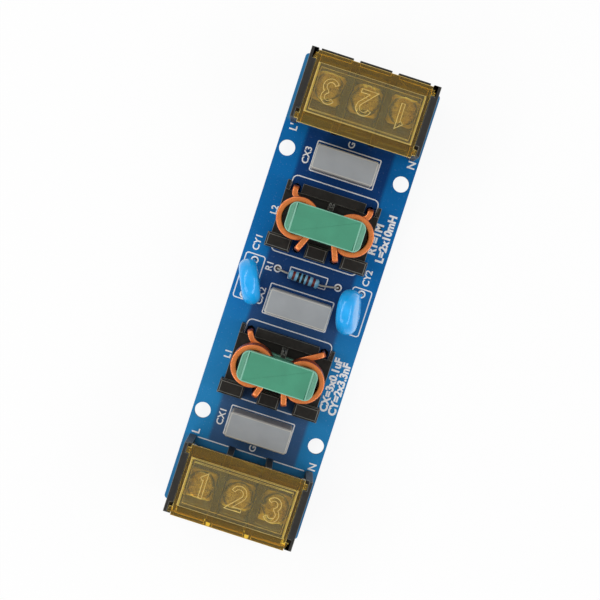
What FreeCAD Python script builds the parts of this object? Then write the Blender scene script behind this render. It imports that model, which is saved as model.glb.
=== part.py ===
import FreeCAD, Part
import math
import os

from FreeCAD import Placement, Rotation, Vector

# Two-stage mains line filter on a circuit board, in millimetres.
# The origin is the centre of the mounting-hole pattern on the underside of the board.
# +Y runs along the board towards the output terminal block, and +Z points up.

# Circuit board
board_length = 130.0
board_width = 39.0
board_thickness = 1.6
board_corner_radius = 1.0
mount_pitch_x = 33.2
mount_pitch_y = 76.7
mount_hole_diameter = 4.5
hole_clearance = 0.15
terminal_tail = 2.2
lead_tail = 1.7
solder_height = 1.1
solder_rim = 0.7
solder_lip = 0.12

# Terminal block housing
pole_pitch = 11.0
pole_count = 3
block_depth = 19.5
block_end_margin = 1.5
end_wall = 2.0
barrier_thickness = 1.8
barrier_recess = 0.6
floor_height = 7.5
ledge_reach = 1.5
ledge_thickness = 2.2
wall_over_flange = 0.3
back_wall_height = 12.0
back_wall_thickness = 1.4
back_wall_recess = 2.5

# Terminal block cover
block_height = 20.5
cover_depth = 19.85
cover_offsets = {"input": -0.45, "output": 0.45}
cover_thickness = 1.0
crown_step = 1.3
crown_inset = 1.0
outer_flange = 3.2
inner_flange = 3.3
cover_side_gap = 0.1
cover_seat_gap = 0.1
end_skirt_drop = 1.6
tongue_length = 3.2
tongue_thickness = 0.9
tongue_side_gap = 0.3
tab_length = 1.6
tab_reach = 1.0
tab_height = 1.1
tab_gap = 0.15
tab_play = 0.6

# Terminal contact, clamp and screw
contact_side_gap = 0.6
contact_thickness = 1.2
contact_front = 2.0
contact_rear_gap = 0.1
contact_upstand = 2.4
terminal_pin_width = 1.2
terminal_pin_thickness = 0.8
terminal_pin_inset = 4.5
screw_inset = 10.9
clamp_side_gap = 0.5
clamp_depth = 8.0
clamp_plate = 1.2
clamp_rib = 0.6
clamp_rib_width = 0.8
clamp_corner = 0.9
running_gap = 0.05
screw_diameter = 4.0
thread_gap = 0.2
screw_length = 8.0
head_diameter = 7.8
head_height = 2.6
head_chamfer = 0.7
slot_width = 1.1
slot_depth = 1.3
cross_length = 5.2
well_gap = 0.5

# Parts in a row along the middle of the board, each with the gap that it follows
row_gaps = {
    "x_capacitor_1": 3.7,
    "choke_1": 3.1,
    "x_capacitor_2": 4.8,
    "choke_2": 10.4,
    "x_capacitor_3": 4.4,
}
last_row_gap = 4.0

# Common-mode choke
limb_pitch = 14.3
limb_diameter = 6.0
core_length = 21.2
core_height = 19.2
yoke_height = 4.0
yoke_depth = 8.5
yoke_corner_radius = 2.2
yoke_bevel_length = 1.6
yoke_bevel_drop = 0.7
core_gap = 0.1
sleeve_wall = 0.4
coil_bore = 8.2
coil_shifts = {"choke_1": 0.0, "choke_2": 0.5}
wire_width = 1.65
wire_thickness = 0.85
turn_pitch = 1.08
steps_per_turn = 12
wire_bend_radius = 1.0
bend_steps = 3
lead_curve_steps = 4
front_departures = {"choke_1": -17.0, "choke_2": -22.0}
front_lead_reaches = {"choke_1": 5.25, "choke_2": 5.5}
rear_departures = {
    "choke_1": {"left": 72.0, "right": 52.0},
    "choke_2": {"left": 85.0, "right": 85.0},
}
rear_headings = {
    "choke_1": {"left": -62.0, "right": -34.0},
    "choke_2": {"left": -90.0, "right": -90.0},
}
rear_lead_x = 10.7
rear_lead_y = 8.3
base_plate = 3.4
base_pocket = 1.6
base_half_width = 13.5
base_rear = 9.7
base_slab_rear = 7.0
base_fronts = {"choke_1": 10.6, "choke_2": 9.6}
front_block_depth = 4.0
rear_bar_height = 4.6
rear_notch_side = 0.8
ear_width = 1.0
front_block_height = 5.4
front_outer_inner_edge = 7.3
front_outer_edge = 14.4
front_centre_edge = 3.0
front_block_chamfer = 0.5
divider_width = 1.4
divider_front = 4.6
divider_rear = 6.6
divider_slot = 0.4
divider_drop = 0.5

# Box capacitors across the line
box_length = 17.6
box_depth = 7.0
box_height = 12.2
box_corner_cut = 0.5
box_top_chamfer = 0.35
box_rim = 0.8
box_rim_height = 0.7
box_lead_pitch = 15.0
box_lead_radius = 0.4

# Disc capacitors to earth, placed from the middle of the space between the chokes
disc_radius = 6.3
disc_thickness = 4.7
disc_edge_radius = 1.9
disc_rim_steps = 3
disc_capacitors = {
    "y_capacitor_1": {"pad": (-15.6, 1.25), "centre": (-15.05, 0.4), "turn": 25.0, "lean": 0.0},
    "y_capacitor_2": {"pad": (15.6, 1.25), "centre": (13.4, 0.7), "turn": 9.7, "lean": 14.0},
}
disc_centre_height = 8.4
disc_lead_pitch = 10.0
disc_lead_radius = 0.32
coating_start_radius = 1.5
coating_end_radius = 0.55
coating_stop = 1.1
coating_root_chord = 3.4
coating_root_drop = 4.2

# Bleed resistor, placed from the middle of the space between the second box capacitor and its choke
resistor_pads = ((-8.8, 0.05), (8.8, 0.05))
resistor_ends = ((-5.5, -0.35), (3.5, -0.75))
resistor_axis_height = 1.7
resistor_cap_radius = 1.4
resistor_waist_radius = 1.15
resistor_cap_length = 1.7
resistor_shoulder = 0.5
resistor_lead_radius = 0.3
resistor_lead_run = 0.9

# Sides of the small round sections, which are drawn with flats to keep the model light
lead_sides = 6
solder_sides = 8
screw_sides = 24
hidden_sides = 16
flatness = 1e-6
up = Vector(0, 0, 1)

# A direction that no straight run of a lead follows
aside = Vector(0.31, 0.87, 0.39)


def block(x0, x1, y0, y1, z0, z1):
    return Part.makeBox(x1 - x0, y1 - y0, z1 - z0, Vector(x0, y0, z0))


def polygon_points(centre, side, other, radius, sides):
    points = []
    for k in range(sides):
        angle = 2 * math.pi * (k + 0.5) / sides
        points.append(centre + side * (radius * math.cos(angle)) + other * (radius * math.sin(angle)))
    return points


def peg(x, y, z0, z1, radius, sides):
    """An upright many-sided peg whose corners lie on the radius."""
    points = polygon_points(Vector(x, y, z0), Vector(1, 0, 0), Vector(0, 1, 0), radius, sides)
    return Part.Face(Part.makePolygon(points + [points[0]])).extrude(Vector(0, 0, z1 - z0))


def hole(x, y, z0, z1, radius, sides):
    """The tool for a many-sided hole whose flats clear the radius."""
    return peg(x, y, z0, z1, radius / math.cos(math.pi / sides), sides)


def tapered(start, end, start_radius, end_radius, sides):
    """A many-sided cone between two points."""
    axis = (end - start).normalize()
    side = axis.cross(aside).normalize()
    other = axis.cross(side)
    sections = []
    for centre, radius in ((start, start_radius), (end, end_radius)):
        sections.append(polygon_points(centre, side, other, radius, sides))
    return skinned(sections)


def stacked(levels, sides):
    """A many-sided upright solid about the Z axis through levels of radius and height."""
    sections = []
    for radius, height in levels:
        sections.append(polygon_points(Vector(0, 0, height), Vector(1, 0, 0), Vector(0, 1, 0), radius, sides))
    return skinned(sections)


def extruded(points, direction):
    outline = [Vector(*point) for point in points]
    outline.append(outline[0])
    return Part.Face(Part.makePolygon(outline)).extrude(direction)


def upright_edges(shape):
    found = []
    for edge in shape.Edges:
        span = edge.BoundBox
        if span.XLength < 1e-6 and span.YLength < 1e-6:
            found.append(edge)
    return found


def top_edges(shape):
    height = shape.BoundBox.ZMax
    return [edge for edge in shape.Edges if edge.BoundBox.ZMin > height - 1e-6]


def section_corners(centre, across, through, half_across, half_through):
    corners = []
    for side_a, side_b in ((-1, -1), (1, -1), (1, 1), (-1, 1)):
        corners.append(centre + across * (side_a * half_across) + through * (side_b * half_through))
    return corners


def flat_face(corners):
    return Part.Face(Part.makePolygon(list(corners) + [corners[0]]))


def skinned(sections):
    """A solid through sections with matching corners, with one flat facet or two between neighbours."""
    faces = [flat_face(sections[0]), flat_face(sections[-1])]
    for before, after in zip(sections, sections[1:]):
        for k, corner in enumerate(before):
            beside = (k + 1) % len(before)
            ring = (corner, before[beside], after[beside], after[k])
            lift = (ring[1] - ring[0]).cross(ring[2] - ring[0]).dot(ring[3] - ring[0])
            if abs(lift) < flatness:
                faces.append(flat_face(ring))
            else:
                faces.append(flat_face(ring[:3]))
                faces.append(flat_face((ring[2], ring[3], ring[0])))
    return Part.Solid(Part.Shell(faces))


def rod(points, radius):
    """A bent round lead: a many-sided section carried along straight runs with mitred corners."""
    path = [Vector(*point) for point in points]
    runs = [(path[i + 1] - path[i]).normalize() for i in range(len(path) - 1)]
    side = runs[0].cross(aside).normalize()
    other = runs[0].cross(side)
    section = polygon_points(path[0], side, other, radius, lead_sides)
    sections = []
    for i, point in enumerate(path):
        before = runs[max(i - 1, 0)]
        after = runs[min(i, len(runs) - 1)]
        normal = before + after
        if i > 0:
            section = [p + before * ((point - p).dot(normal) / before.dot(normal)) for p in section]
        sections.append(section)
    return skinned(sections)


def pole_offsets():
    first = -(pole_count - 1) / 2.0 * pole_pitch
    return [first + pole_pitch * i for i in range(pole_count)]


def barrier_offsets():
    poles = pole_offsets()
    return [(poles[i] + poles[i + 1]) / 2.0 for i in range(pole_count - 1)]


# Heights and lengths of the terminal block that follow from the sizes above.
# Each block is drawn with its wire side at y = 0, its depth along +Y and the board's top at z = 0.
block_length = pole_count * pole_pitch + 2 * block_end_margin
inner_half = block_length / 2.0 - end_wall
slot_span = pole_pitch - barrier_thickness
flange_top = block_height - crown_step
flange_bottom = flange_top - cover_thickness
barrier_top = flange_bottom - cover_seat_gap
end_wall_top = flange_top + wall_over_flange
back_wall_rear = block_depth - back_wall_recess
back_wall_front = back_wall_rear - back_wall_thickness
contact_top = floor_height + contact_thickness
contact_half_width = slot_span / 2.0 - contact_side_gap
clamp_bottom = contact_top + running_gap
clamp_top = clamp_bottom + clamp_rib + clamp_plate
head_bottom = clamp_top + running_gap
screw_tip = head_bottom - screw_length
tapped_radius = screw_diameter / 2.0 + thread_gap / 2.0
shank_radius = screw_diameter / 2.0 - thread_gap / 2.0
cover_half = inner_half - cover_side_gap
pin_y = block_depth - terminal_pin_inset
screw_y = block_depth - screw_inset


def tab_places():
    front = outer_flange / 2.0
    rear = cover_depth - inner_flange / 2.0
    return [(side, y) for side in (-1, 1) for y in (front, rear)]


def terminal_housing():
    """One black moulding: floor with a ledge at each pole, back wall, two end walls and two barriers."""
    half = block_length / 2.0
    body = block(-half, half, 0, back_wall_rear, 0, floor_height)
    body = body.fuse(block(-half, half, back_wall_front, back_wall_rear, floor_height, back_wall_height))
    for side in (-1, 1):
        x0, x1 = sorted((side * inner_half, side * half))
        body = body.fuse(block(x0, x1, 0, block_depth, 0, end_wall_top))
    for x in barrier_offsets():
        half_wall = barrier_thickness / 2.0
        body = body.fuse(block(x - half_wall, x + half_wall, barrier_recess, block_depth, 0, barrier_top))
    for x in pole_offsets():
        well_radius = tapped_radius + thread_gap
        body = body.cut(hole(x, screw_y, screw_tip - well_gap, floor_height, well_radius, hidden_sides))
        slot_x = terminal_pin_width / 2.0 + hole_clearance
        slot_y = terminal_pin_thickness / 2.0 + hole_clearance
        body = body.cut(block(x - slot_x, x + slot_x, pin_y - slot_y, pin_y + slot_y, 0, floor_height))
        ledge_half = slot_span / 2.0
        ledge_bottom = floor_height - ledge_thickness
        body = body.fuse(block(x - ledge_half, x + ledge_half, -ledge_reach, 0, ledge_bottom, floor_height))
    for side, y in tab_places():
        reach = inner_half + tab_reach - cover_side_gap + tab_gap
        x0, x1 = sorted((side * inner_half, side * reach))
        half_notch = tab_length / 2.0 + tab_play
        low = flange_top - tab_height - tab_gap
        body = body.cut(block(x0, x1, y - half_notch, y + half_notch, low, end_wall_top))
    return body.removeSplitter()


def terminal_cover(offset):
    """A thin amber lid: raised crown between two flanges, end skirts, three tongues and four tabs."""
    crown_half = cover_half - crown_inset
    crown_rear = cover_depth - inner_flange
    wall = cover_thickness
    lid = block(-cover_half, cover_half, 0, cover_depth, flange_bottom, flange_top)
    lid = lid.fuse(block(-crown_half, crown_half, outer_flange, crown_rear, flange_bottom, block_height))
    hollow_top = block_height - wall
    lid = lid.cut(
        block(-crown_half + wall, crown_half - wall, outer_flange + wall, crown_rear - wall, 0, hollow_top)
    )
    for side in (-1, 1):
        x0, x1 = sorted((side * (cover_half - wall), side * cover_half))
        skirt_bottom = flange_bottom - end_skirt_drop
        lid = lid.fuse(block(x0, x1, 0, cover_depth, skirt_bottom, flange_bottom))
    edges = [-cover_half] + barrier_offsets() + [cover_half]
    for i in range(pole_count):
        x0 = edges[i] + (0 if i == 0 else barrier_thickness / 2.0 + tongue_side_gap)
        x1 = edges[i + 1] - (0 if i == pole_count - 1 else barrier_thickness / 2.0 + tongue_side_gap)
        low = flange_bottom - tongue_length
        lid = lid.fuse(block(x0, x1, 0, tongue_thickness, low, flange_bottom))
    for side, y in tab_places():
        x0, x1 = sorted((side * cover_half, side * (cover_half + tab_reach)))
        low = flange_top - tab_height
        lid = lid.fuse(block(x0, x1, y - tab_length / 2.0, y + tab_length / 2.0, low, flange_top))
    lid.translate(Vector(0, offset, 0))
    return lid.removeSplitter()


def terminal_contact(x):
    """A tinned brass strip, tapped for the screw, with a raised rear end and a solder pin."""
    half = contact_half_width
    rear = back_wall_front - contact_rear_gap
    side_profile = [
        (x - half, contact_front, floor_height),
        (x - half, rear, floor_height),
        (x - half, rear, contact_top + contact_upstand),
        (x - half, rear - contact_thickness, contact_top + contact_upstand),
        (x - half, rear - contact_thickness, contact_top),
        (x - half, contact_front + contact_thickness / 2.0, contact_top),
        (x - half, contact_front, contact_top - contact_thickness / 2.0),
    ]
    strip = extruded(side_profile, Vector(2 * half, 0, 0))
    pin_x = terminal_pin_width / 2.0
    pin_half = terminal_pin_thickness / 2.0
    foot = -board_thickness - terminal_tail
    strip = strip.fuse(block(x - pin_x, x + pin_x, pin_y - pin_half, pin_y + pin_half, foot, floor_height))
    strip = strip.cut(hole(x, screw_y, floor_height, contact_top, tapped_radius, hidden_sides))
    return strip.removeSplitter()


def terminal_clamp(x):
    """A square pressure plate with clipped corners and a gripping rib along two edges."""
    half_x = slot_span / 2.0 - clamp_side_gap
    half_y = clamp_depth / 2.0
    plate_bottom = clamp_bottom + clamp_rib
    cut = clamp_corner
    outline = [
        (x - half_x + cut, screw_y - half_y, plate_bottom),
        (x + half_x - cut, screw_y - half_y, plate_bottom),
        (x + half_x, screw_y - half_y + cut, plate_bottom),
        (x + half_x, screw_y + half_y - cut, plate_bottom),
        (x + half_x - cut, screw_y + half_y, plate_bottom),
        (x - half_x + cut, screw_y + half_y, plate_bottom),
        (x - half_x, screw_y + half_y - cut, plate_bottom),
        (x - half_x, screw_y - half_y + cut, plate_bottom),
    ]
    plate = extruded(outline, Vector(0, 0, clamp_plate))
    for side in (-1, 1):
        edge = screw_y + side * half_y
        y0, y1 = sorted((edge, edge - side * clamp_rib_width))
        rib_half = half_x - cut - clamp_rib_width
        plate = plate.fuse(block(x - rib_half, x + rib_half, y0, y1, clamp_bottom, plate_bottom))
    plate = plate.cut(hole(x, screw_y, plate_bottom, clamp_top, tapped_radius, hidden_sides))
    return plate.removeSplitter()


def terminal_screw(x):
    """A pan-head screw with a full slot and a shorter crossing slot."""
    head_radius = head_diameter / 2.0
    head_top = head_bottom + head_height
    levels = [
        (shank_radius, screw_tip),
        (shank_radius, head_bottom),
        (head_radius, head_bottom),
        (head_radius, head_top - head_chamfer),
        (head_radius - head_chamfer, head_top),
    ]
    screw = stacked(levels, screw_sides)
    low = head_top - slot_depth
    half_slot = slot_width / 2.0
    half_cross = cross_length / 2.0
    screw = screw.cut(block(-head_diameter, head_diameter, -half_slot, half_slot, low, head_top))
    screw = screw.cut(block(-half_slot, half_slot, -half_cross, half_cross, low, head_top))
    screw.translate(Vector(x, screw_y, 0))
    return screw.removeSplitter()


def place_input(shape):
    """Sets a block at the -Y end with its wire side flush with the board's end."""
    placed = shape.copy()
    placed.translate(Vector(0, -board_length / 2.0, board_thickness))
    return placed


def place_output(shape):
    """Sets a block at the +Y end, turned half round so that its wire side faces out."""
    placed = shape.copy()
    placed.rotate(Vector(0, 0, 0), up, 180)
    placed.translate(Vector(0, board_length / 2.0, board_thickness))
    return placed


def terminal_nodes():
    nodes = {}
    for name, place in (("input", place_input), ("output", place_output)):
        nodes[name + "_housing"] = place(terminal_housing())
        nodes[name + "_cover"] = place(terminal_cover(cover_offsets[name]))
        for number, x in enumerate(pole_offsets(), 1):
            nodes["%s_contact_%d" % (name, number)] = place(terminal_contact(x))
            nodes["%s_clamp_%d" % (name, number)] = place(terminal_clamp(x))
            nodes["%s_screw_%d" % (name, number)] = place(terminal_screw(x))
    return nodes


# Heights and radii of the choke that follow from the sizes above.
# A choke is drawn about the middle of its core, with the board's top at z = 0.
limb_x = limb_pitch / 2.0
limb_radius = limb_diameter / 2.0
core_half = core_length / 2.0
core_bottom = base_plate - base_pocket
core_top = core_bottom + core_height
window_bottom = core_bottom + yoke_height
window_top = core_top - yoke_height
sleeve_inner = limb_radius + core_gap / 2.0
sleeve_outer = sleeve_inner + sleeve_wall
coil_inner = coil_bore / 2.0 / math.cos(math.pi / steps_per_turn)
coil_middle = coil_inner + wire_width / 2.0


def choke_core():
    """A closed ferrite frame: two round limbs between two flat yokes with bevelled ends."""
    frame = None
    for low in (core_bottom, window_top):
        yoke = block(-core_half, core_half, -yoke_depth / 2.0, yoke_depth / 2.0, low, low + yoke_height)
        yoke = yoke.makeFillet(yoke_corner_radius, upright_edges(yoke))
        frame = yoke if frame is None else frame.fuse(yoke)
    for side in (-1, 1):
        frame = frame.fuse(peg(side * limb_x, 0, window_bottom, window_top, limb_radius, hidden_sides))
        inner_end = side * (core_half - yoke_bevel_length)
        outer_end = side * core_half
        for level, drop in ((core_top, -yoke_bevel_drop), (core_bottom, yoke_bevel_drop)):
            wedge = [
                (inner_end, -yoke_depth, level),
                (outer_end, -yoke_depth, level + drop),
                (outer_end, -yoke_depth, level),
            ]
            frame = frame.cut(extruded(wedge, Vector(0, 2 * yoke_depth, 0)))
    return frame.removeSplitter()


def choke_sleeve(side):
    """The insulating tube between a limb and its coil."""
    low = window_bottom + core_gap / 2.0
    high = window_top - core_gap / 2.0
    tube = peg(side * limb_x, 0, low, high, sleeve_outer, hidden_sides)
    return tube.cut(peg(side * limb_x, 0, low, high, sleeve_inner, hidden_sides))


def choke_base(base_front):
    """The black moulded foot: slab with a core pocket, three front blocks, rear bar, ears and divider."""
    slab_front = front_block_depth - base_front
    notch_inner = rear_lead_x - wire_width / 2.0 - rear_notch_side
    ear_inner = base_half_width - ear_width
    foot = block(-base_half_width, base_half_width, slab_front, base_slab_rear, 0, base_plate)
    foot = foot.fuse(block(-notch_inner, notch_inner, base_slab_rear, base_rear, 0, rear_bar_height))
    front_spans = (
        (-front_outer_edge, -front_outer_inner_edge),
        (-front_centre_edge, front_centre_edge),
        (front_outer_inner_edge, front_outer_edge),
    )
    for x0, x1 in front_spans:
        cap = block(x0, x1, -base_front, slab_front, 0, front_block_height)
        foot = foot.fuse(cap.makeChamfer(front_block_chamfer, top_edges(cap)))
    for side in (-1, 1):
        x0, x1 = sorted((side * ear_inner, side * base_half_width))
        foot = foot.fuse(block(x0, x1, base_slab_rear, base_rear, 0, rear_bar_height))
    pocket_x = core_half + core_gap
    pocket_y = yoke_depth / 2.0 + core_gap
    foot = foot.cut(block(-pocket_x, pocket_x, -pocket_y, pocket_y, core_bottom, base_plate))
    post_top = window_top - divider_drop
    half_post = divider_width / 2.0
    foot = foot.fuse(block(-half_post, half_post, divider_front, divider_rear, base_plate, post_top))
    half_slot = divider_slot / 2.0
    slot_front = (divider_front + divider_rear) / 2.0
    foot = foot.cut(block(-half_slot, half_slot, slot_front, divider_rear, rear_bar_height, post_top))
    return foot.removeSplitter()


def turned(angle):
    return Vector(math.cos(angle), math.sin(angle), 0)


def heading(angle):
    return Vector(math.sin(angle), -math.cos(angle), 0)


def across_of(direction):
    return Vector(-direction.y, direction.x, 0)


def coil_centre(name):
    """The middle of the left coil, which may sit off its limb as far as its play lets it."""
    return Vector(-limb_x - coil_shifts[name], 0, 0)


def winding_sections(name, rear_departure, rear_heading):
    """Flat-wire sections of the left coil, from the rear tail up through the turns to the front tail."""
    centre = coil_centre(name)
    first = math.radians(rear_departure)
    last = math.radians(front_departures[name])
    low = window_bottom + core_gap + wire_thickness / 2.0
    high = window_top - core_gap - wire_thickness / 2.0
    part_turn = (first - last) / (2 * math.pi)
    turns = math.floor((high - low) / turn_pitch - part_turn) + part_turn
    tail = -board_thickness - lead_tail
    sections = []

    inward = turned(math.radians(rear_heading))
    foot = Vector(-rear_lead_x, rear_lead_y, 0)
    sections.append((Vector(foot.x, foot.y, tail), across_of(inward), inward * -1))
    for k in range(bend_steps + 1):
        bend = math.pi / 2 * k / bend_steps
        place = foot + inward * (wire_bend_radius * (1 - math.cos(bend)))
        place = place + up * (low - wire_bend_radius * (1 - math.sin(bend)))
        through = inward * -math.cos(bend) + up * math.sin(bend)
        sections.append((place, across_of(inward), through))

    start = sections[-1][0]
    end = centre + turned(first) * coil_middle + up * low
    pull = (end - start).Length / 2.2
    handles = (start, start + inward * pull, end - heading(first) * pull, end)
    for k in range(1, lead_curve_steps):
        t = k / float(lead_curve_steps)
        weights = ((1 - t) ** 3, 3 * t * (1 - t) ** 2, 3 * t * t * (1 - t), t ** 3)
        place = Vector(0, 0, 0)
        for weight, handle in zip(weights, handles):
            place = place + handle * weight
        slopes = (-(1 - t) ** 2, (1 - t) * (1 - 3 * t), t * (2 - 3 * t), t * t)
        direction = Vector(0, 0, 0)
        for slope, handle in zip(slopes, handles):
            direction = direction + handle * slope
        sections.append((place, across_of(direction.normalize()), up))

    count = int(round(turns * steps_per_turn))
    for k in range(count + 1):
        share = k / float(count)
        angle = first - 2 * math.pi * turns * share
        place = centre + turned(angle) * coil_middle + up * (low + turn_pitch * turns * share)
        sections.append((place, turned(angle), up))

    outward = heading(last)
    level = sections[-1][0].z
    reach = sections[-1][0] + outward * front_lead_reaches[name]
    for k in range(bend_steps + 1):
        bend = math.pi / 2 * k / bend_steps
        place = reach + outward * (wire_bend_radius * math.sin(bend))
        place = place - up * (wire_bend_radius * (1 - math.cos(bend)))
        through = outward * math.sin(bend) + up * math.cos(bend)
        sections.append((place, across_of(outward), through))
    foot = reach + outward * wire_bend_radius
    sections.append((Vector(foot.x, foot.y, tail), across_of(outward), outward))
    return sections


def front_lead_place(name):
    angle = math.radians(front_departures[name])
    start = coil_centre(name) + turned(angle) * coil_middle
    return start + heading(angle) * (front_lead_reaches[name] + wire_bend_radius)


def choke_winding(name, side, rear_departure, rear_heading):
    """One coil of flat wire wound on edge, one length from solder tail to solder tail."""
    sections = []
    for place, across, through in winding_sections(name, rear_departure, rear_heading):
        sections.append(section_corners(place, across, through, wire_width / 2.0, wire_thickness / 2.0))
    coil = skinned(sections)
    if side > 0:
        coil = coil.mirror(Vector(0, 0, 0), Vector(1, 0, 0))
    return coil


def row_extents(name):
    if name in base_fronts:
        return base_fronts[name], base_rear
    return box_depth / 2.0, box_depth / 2.0


def row_places():
    """Centres along Y of the parts in the row, with the board's free length shared between their gaps."""
    taken = 2 * block_depth + sum(sum(row_extents(name)) for name in row_gaps)
    stretch = (board_length - taken) / (sum(row_gaps.values()) + last_row_gap)
    y = block_depth - board_length / 2.0
    places = {}
    for name, gap in row_gaps.items():
        front, rear = row_extents(name)
        places[name] = y + gap * stretch + front
        y = places[name] + rear
    return places


row = row_places()
choke_centres = {name: row[name] for name in row if name in base_fronts}
box_capacitor_centres = {name: row[name] for name in row if name not in base_fronts}
between_chokes = (row["choke_1"] + base_rear + row["choke_2"] - base_fronts["choke_2"]) / 2.0
before_choke = (row["x_capacitor_2"] + box_depth / 2.0 + row["choke_2"] - base_fronts["choke_2"]) / 2.0


def choke_nodes():
    nodes = {}
    for name, y in choke_centres.items():
        pieces = {"base": choke_base(base_fronts[name]), "core": choke_core()}
        for hand, side in (("left", -1), ("right", 1)):
            pieces["sleeve_" + hand] = choke_sleeve(side)
            departure = rear_departures[name][hand]
            pieces["winding_" + hand] = choke_winding(name, side, departure, rear_headings[name][hand])
        for piece, shape in pieces.items():
            shape.translate(Vector(0, y, board_thickness))
            nodes[name + "_" + piece] = shape
    return nodes


def box_capacitor_nodes():
    """Grey boxes with an open rim underneath, each on two straight leads."""
    nodes = {}
    half_x = box_length / 2.0
    half_y = box_depth / 2.0
    for name, y in box_capacitor_centres.items():
        top = board_thickness + box_height
        case = block(-half_x, half_x, y - half_y, y + half_y, board_thickness, top)
        case = case.makeChamfer(box_corner_cut, upright_edges(case))
        case = case.makeChamfer(box_top_chamfer, top_edges(case))
        inner_x = half_x - box_rim
        inner_y = half_y - box_rim
        ceiling = board_thickness + box_rim_height
        case = case.cut(block(-inner_x, inner_x, y - inner_y, y + inner_y, board_thickness, ceiling))
        nodes[name + "_case"] = case
        leads = []
        for side in (-1, 1):
            lead_x = side * box_lead_pitch / 2.0
            leads.append(rod([(lead_x, y, ceiling), (lead_x, y, -lead_tail)], box_lead_radius))
        nodes[name + "_leads"] = Part.Compound(leads)
    return nodes


def disc_pad(given):
    pad_x, pad_y = given["pad"]
    return pad_x, pad_y + between_chokes


def disc_body():
    """The dipped disc lying flat about its centre, its rounded rim turned in short straight steps."""
    half = disc_thickness / 2.0
    upper = []
    for k in range(disc_rim_steps + 1):
        angle = math.pi / 2 * k / disc_rim_steps
        reach = disc_radius - disc_edge_radius * (1 - math.sin(angle))
        upper.append(Vector(reach, 0, half - disc_edge_radius * (1 - math.cos(angle))))
    lower = [Vector(point.x, 0, -point.z) for point in reversed(upper)]
    profile = [Vector(0, 0, half)] + upper + lower + [Vector(0, 0, -half)]
    return flat_face(profile).revolve(Vector(0, 0, 0), up, 360)


def disc_capacitor_nodes():
    """Blue dipped discs standing on edge, with coating run down both leads."""
    nodes = {}
    for name, given in disc_capacitors.items():
        pad_x, pad_y = disc_pad(given)
        x = given["centre"][0]
        y = given["centre"][1] + between_chokes
        turn = Rotation(up, given["turn"])
        lean_side = -1 if pad_x > 0 else 1
        lean = Rotation(Vector(0, 1, 0), lean_side * given["lean"])
        stand = turn.multiply(lean)
        facing = stand.multiply(Rotation(Vector(0, 1, 0), 90))
        middle = Vector(x, y, board_thickness + disc_centre_height)
        body = disc_body()
        body.Placement = Placement(middle, facing)
        leads = []
        for side in (-1, 1):
            foot = Vector(pad_x, pad_y + side * disc_lead_pitch / 2.0, board_thickness + coating_stop)
            root = middle + stand.multVec(Vector(0, side * coating_root_chord, -coating_root_drop))
            body = body.fuse(tapered(root, foot, coating_start_radius, coating_end_radius, hidden_sides))
            body = body.cut(peg(foot.x, foot.y, -lead_tail, foot.z, coating_start_radius, lead_sides))
            leads.append(rod([(foot.x, foot.y, foot.z), (foot.x, foot.y, -lead_tail)], disc_lead_radius))
        nodes[name + "_disc"] = body.removeSplitter()
        nodes[name + "_leads"] = Part.Compound(leads)
    return nodes


def resistor_nodes():
    """A dog-bone resistor lying flat on two bent leads."""
    height = board_thickness + resistor_axis_height
    start, end = [Vector(x, y + before_choke, height) for x, y in resistor_ends]
    length = (end - start).Length
    cap = resistor_cap_radius
    waist = resistor_waist_radius
    round_off = resistor_shoulder
    profile = [
        (0, 0, 0),
        (cap - round_off, 0, 0),
        (cap, 0, round_off),
        (cap, 0, resistor_cap_length - round_off),
        (waist, 0, resistor_cap_length),
        (waist, 0, length - resistor_cap_length),
        (cap, 0, length - resistor_cap_length + round_off),
        (cap, 0, length - round_off),
        (cap - round_off, 0, length),
        (0, 0, length),
    ]
    body = flat_face([Vector(*point) for point in profile]).revolve(Vector(0, 0, 0), up, 360)
    body.Placement = Placement(start, Rotation(up, end - start))
    leads = []
    axis = (end - start).normalize()
    for (pad_x, pad_y), body_end, outward in zip(resistor_pads, (start, end), (axis * -1, axis)):
        straight = body_end + outward * resistor_lead_run
        foot_y = pad_y + before_choke
        route = [tuple(body_end), tuple(straight), (pad_x, foot_y, height), (pad_x, foot_y, -lead_tail)]
        leads.append(rod(route, resistor_lead_radius))
    return {"resistor_body": body, "resistor_leads": Part.Compound(leads)}


def terminal_pin_places():
    places = []
    for x in pole_offsets():
        places.append((x, -board_length / 2.0 + pin_y))
        places.append((-x, board_length / 2.0 - pin_y))
    radius = math.hypot(terminal_pin_width, terminal_pin_thickness) / 2.0
    return [(x, y, radius) for x, y in places]


def component_lead_places():
    places = []
    wire_radius = math.hypot(wire_width, wire_thickness) / 2.0
    for name, y in choke_centres.items():
        front = front_lead_place(name)
        for side in (-1, 1):
            places.append((side * rear_lead_x, y + rear_lead_y, wire_radius))
            places.append((-side * front.x, y + front.y, wire_radius))
    for y in box_capacitor_centres.values():
        for side in (-1, 1):
            places.append((side * box_lead_pitch / 2.0, y, box_lead_radius))
    for given in disc_capacitors.values():
        pad_x, pad_y = disc_pad(given)
        for side in (-1, 1):
            places.append((pad_x, pad_y + side * disc_lead_pitch / 2.0, disc_lead_radius))
    for pad_x, pad_y in resistor_pads:
        places.append((pad_x, pad_y + before_choke, resistor_lead_radius))
    return places


def circuit_board():
    """The bare board with its mounting holes and a hole for every lead."""
    half_x = board_width / 2.0
    half_y = board_length / 2.0
    board = block(-half_x, half_x, -half_y, half_y, 0, board_thickness)
    board = board.makeFillet(board_corner_radius, upright_edges(board))
    drills = []
    for side_x in (-1, 1):
        for side_y in (-1, 1):
            x = side_x * mount_pitch_x / 2.0
            y = side_y * mount_pitch_y / 2.0
            drills.append(Part.makeCylinder(mount_hole_diameter / 2.0, board_thickness, Vector(x, y, 0)))
    for x, y, radius in terminal_pin_places() + component_lead_places():
        drills.append(hole(x, y, 0, board_thickness, radius + hole_clearance, lead_sides))
    return board.cut(Part.Compound(drills))


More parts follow.
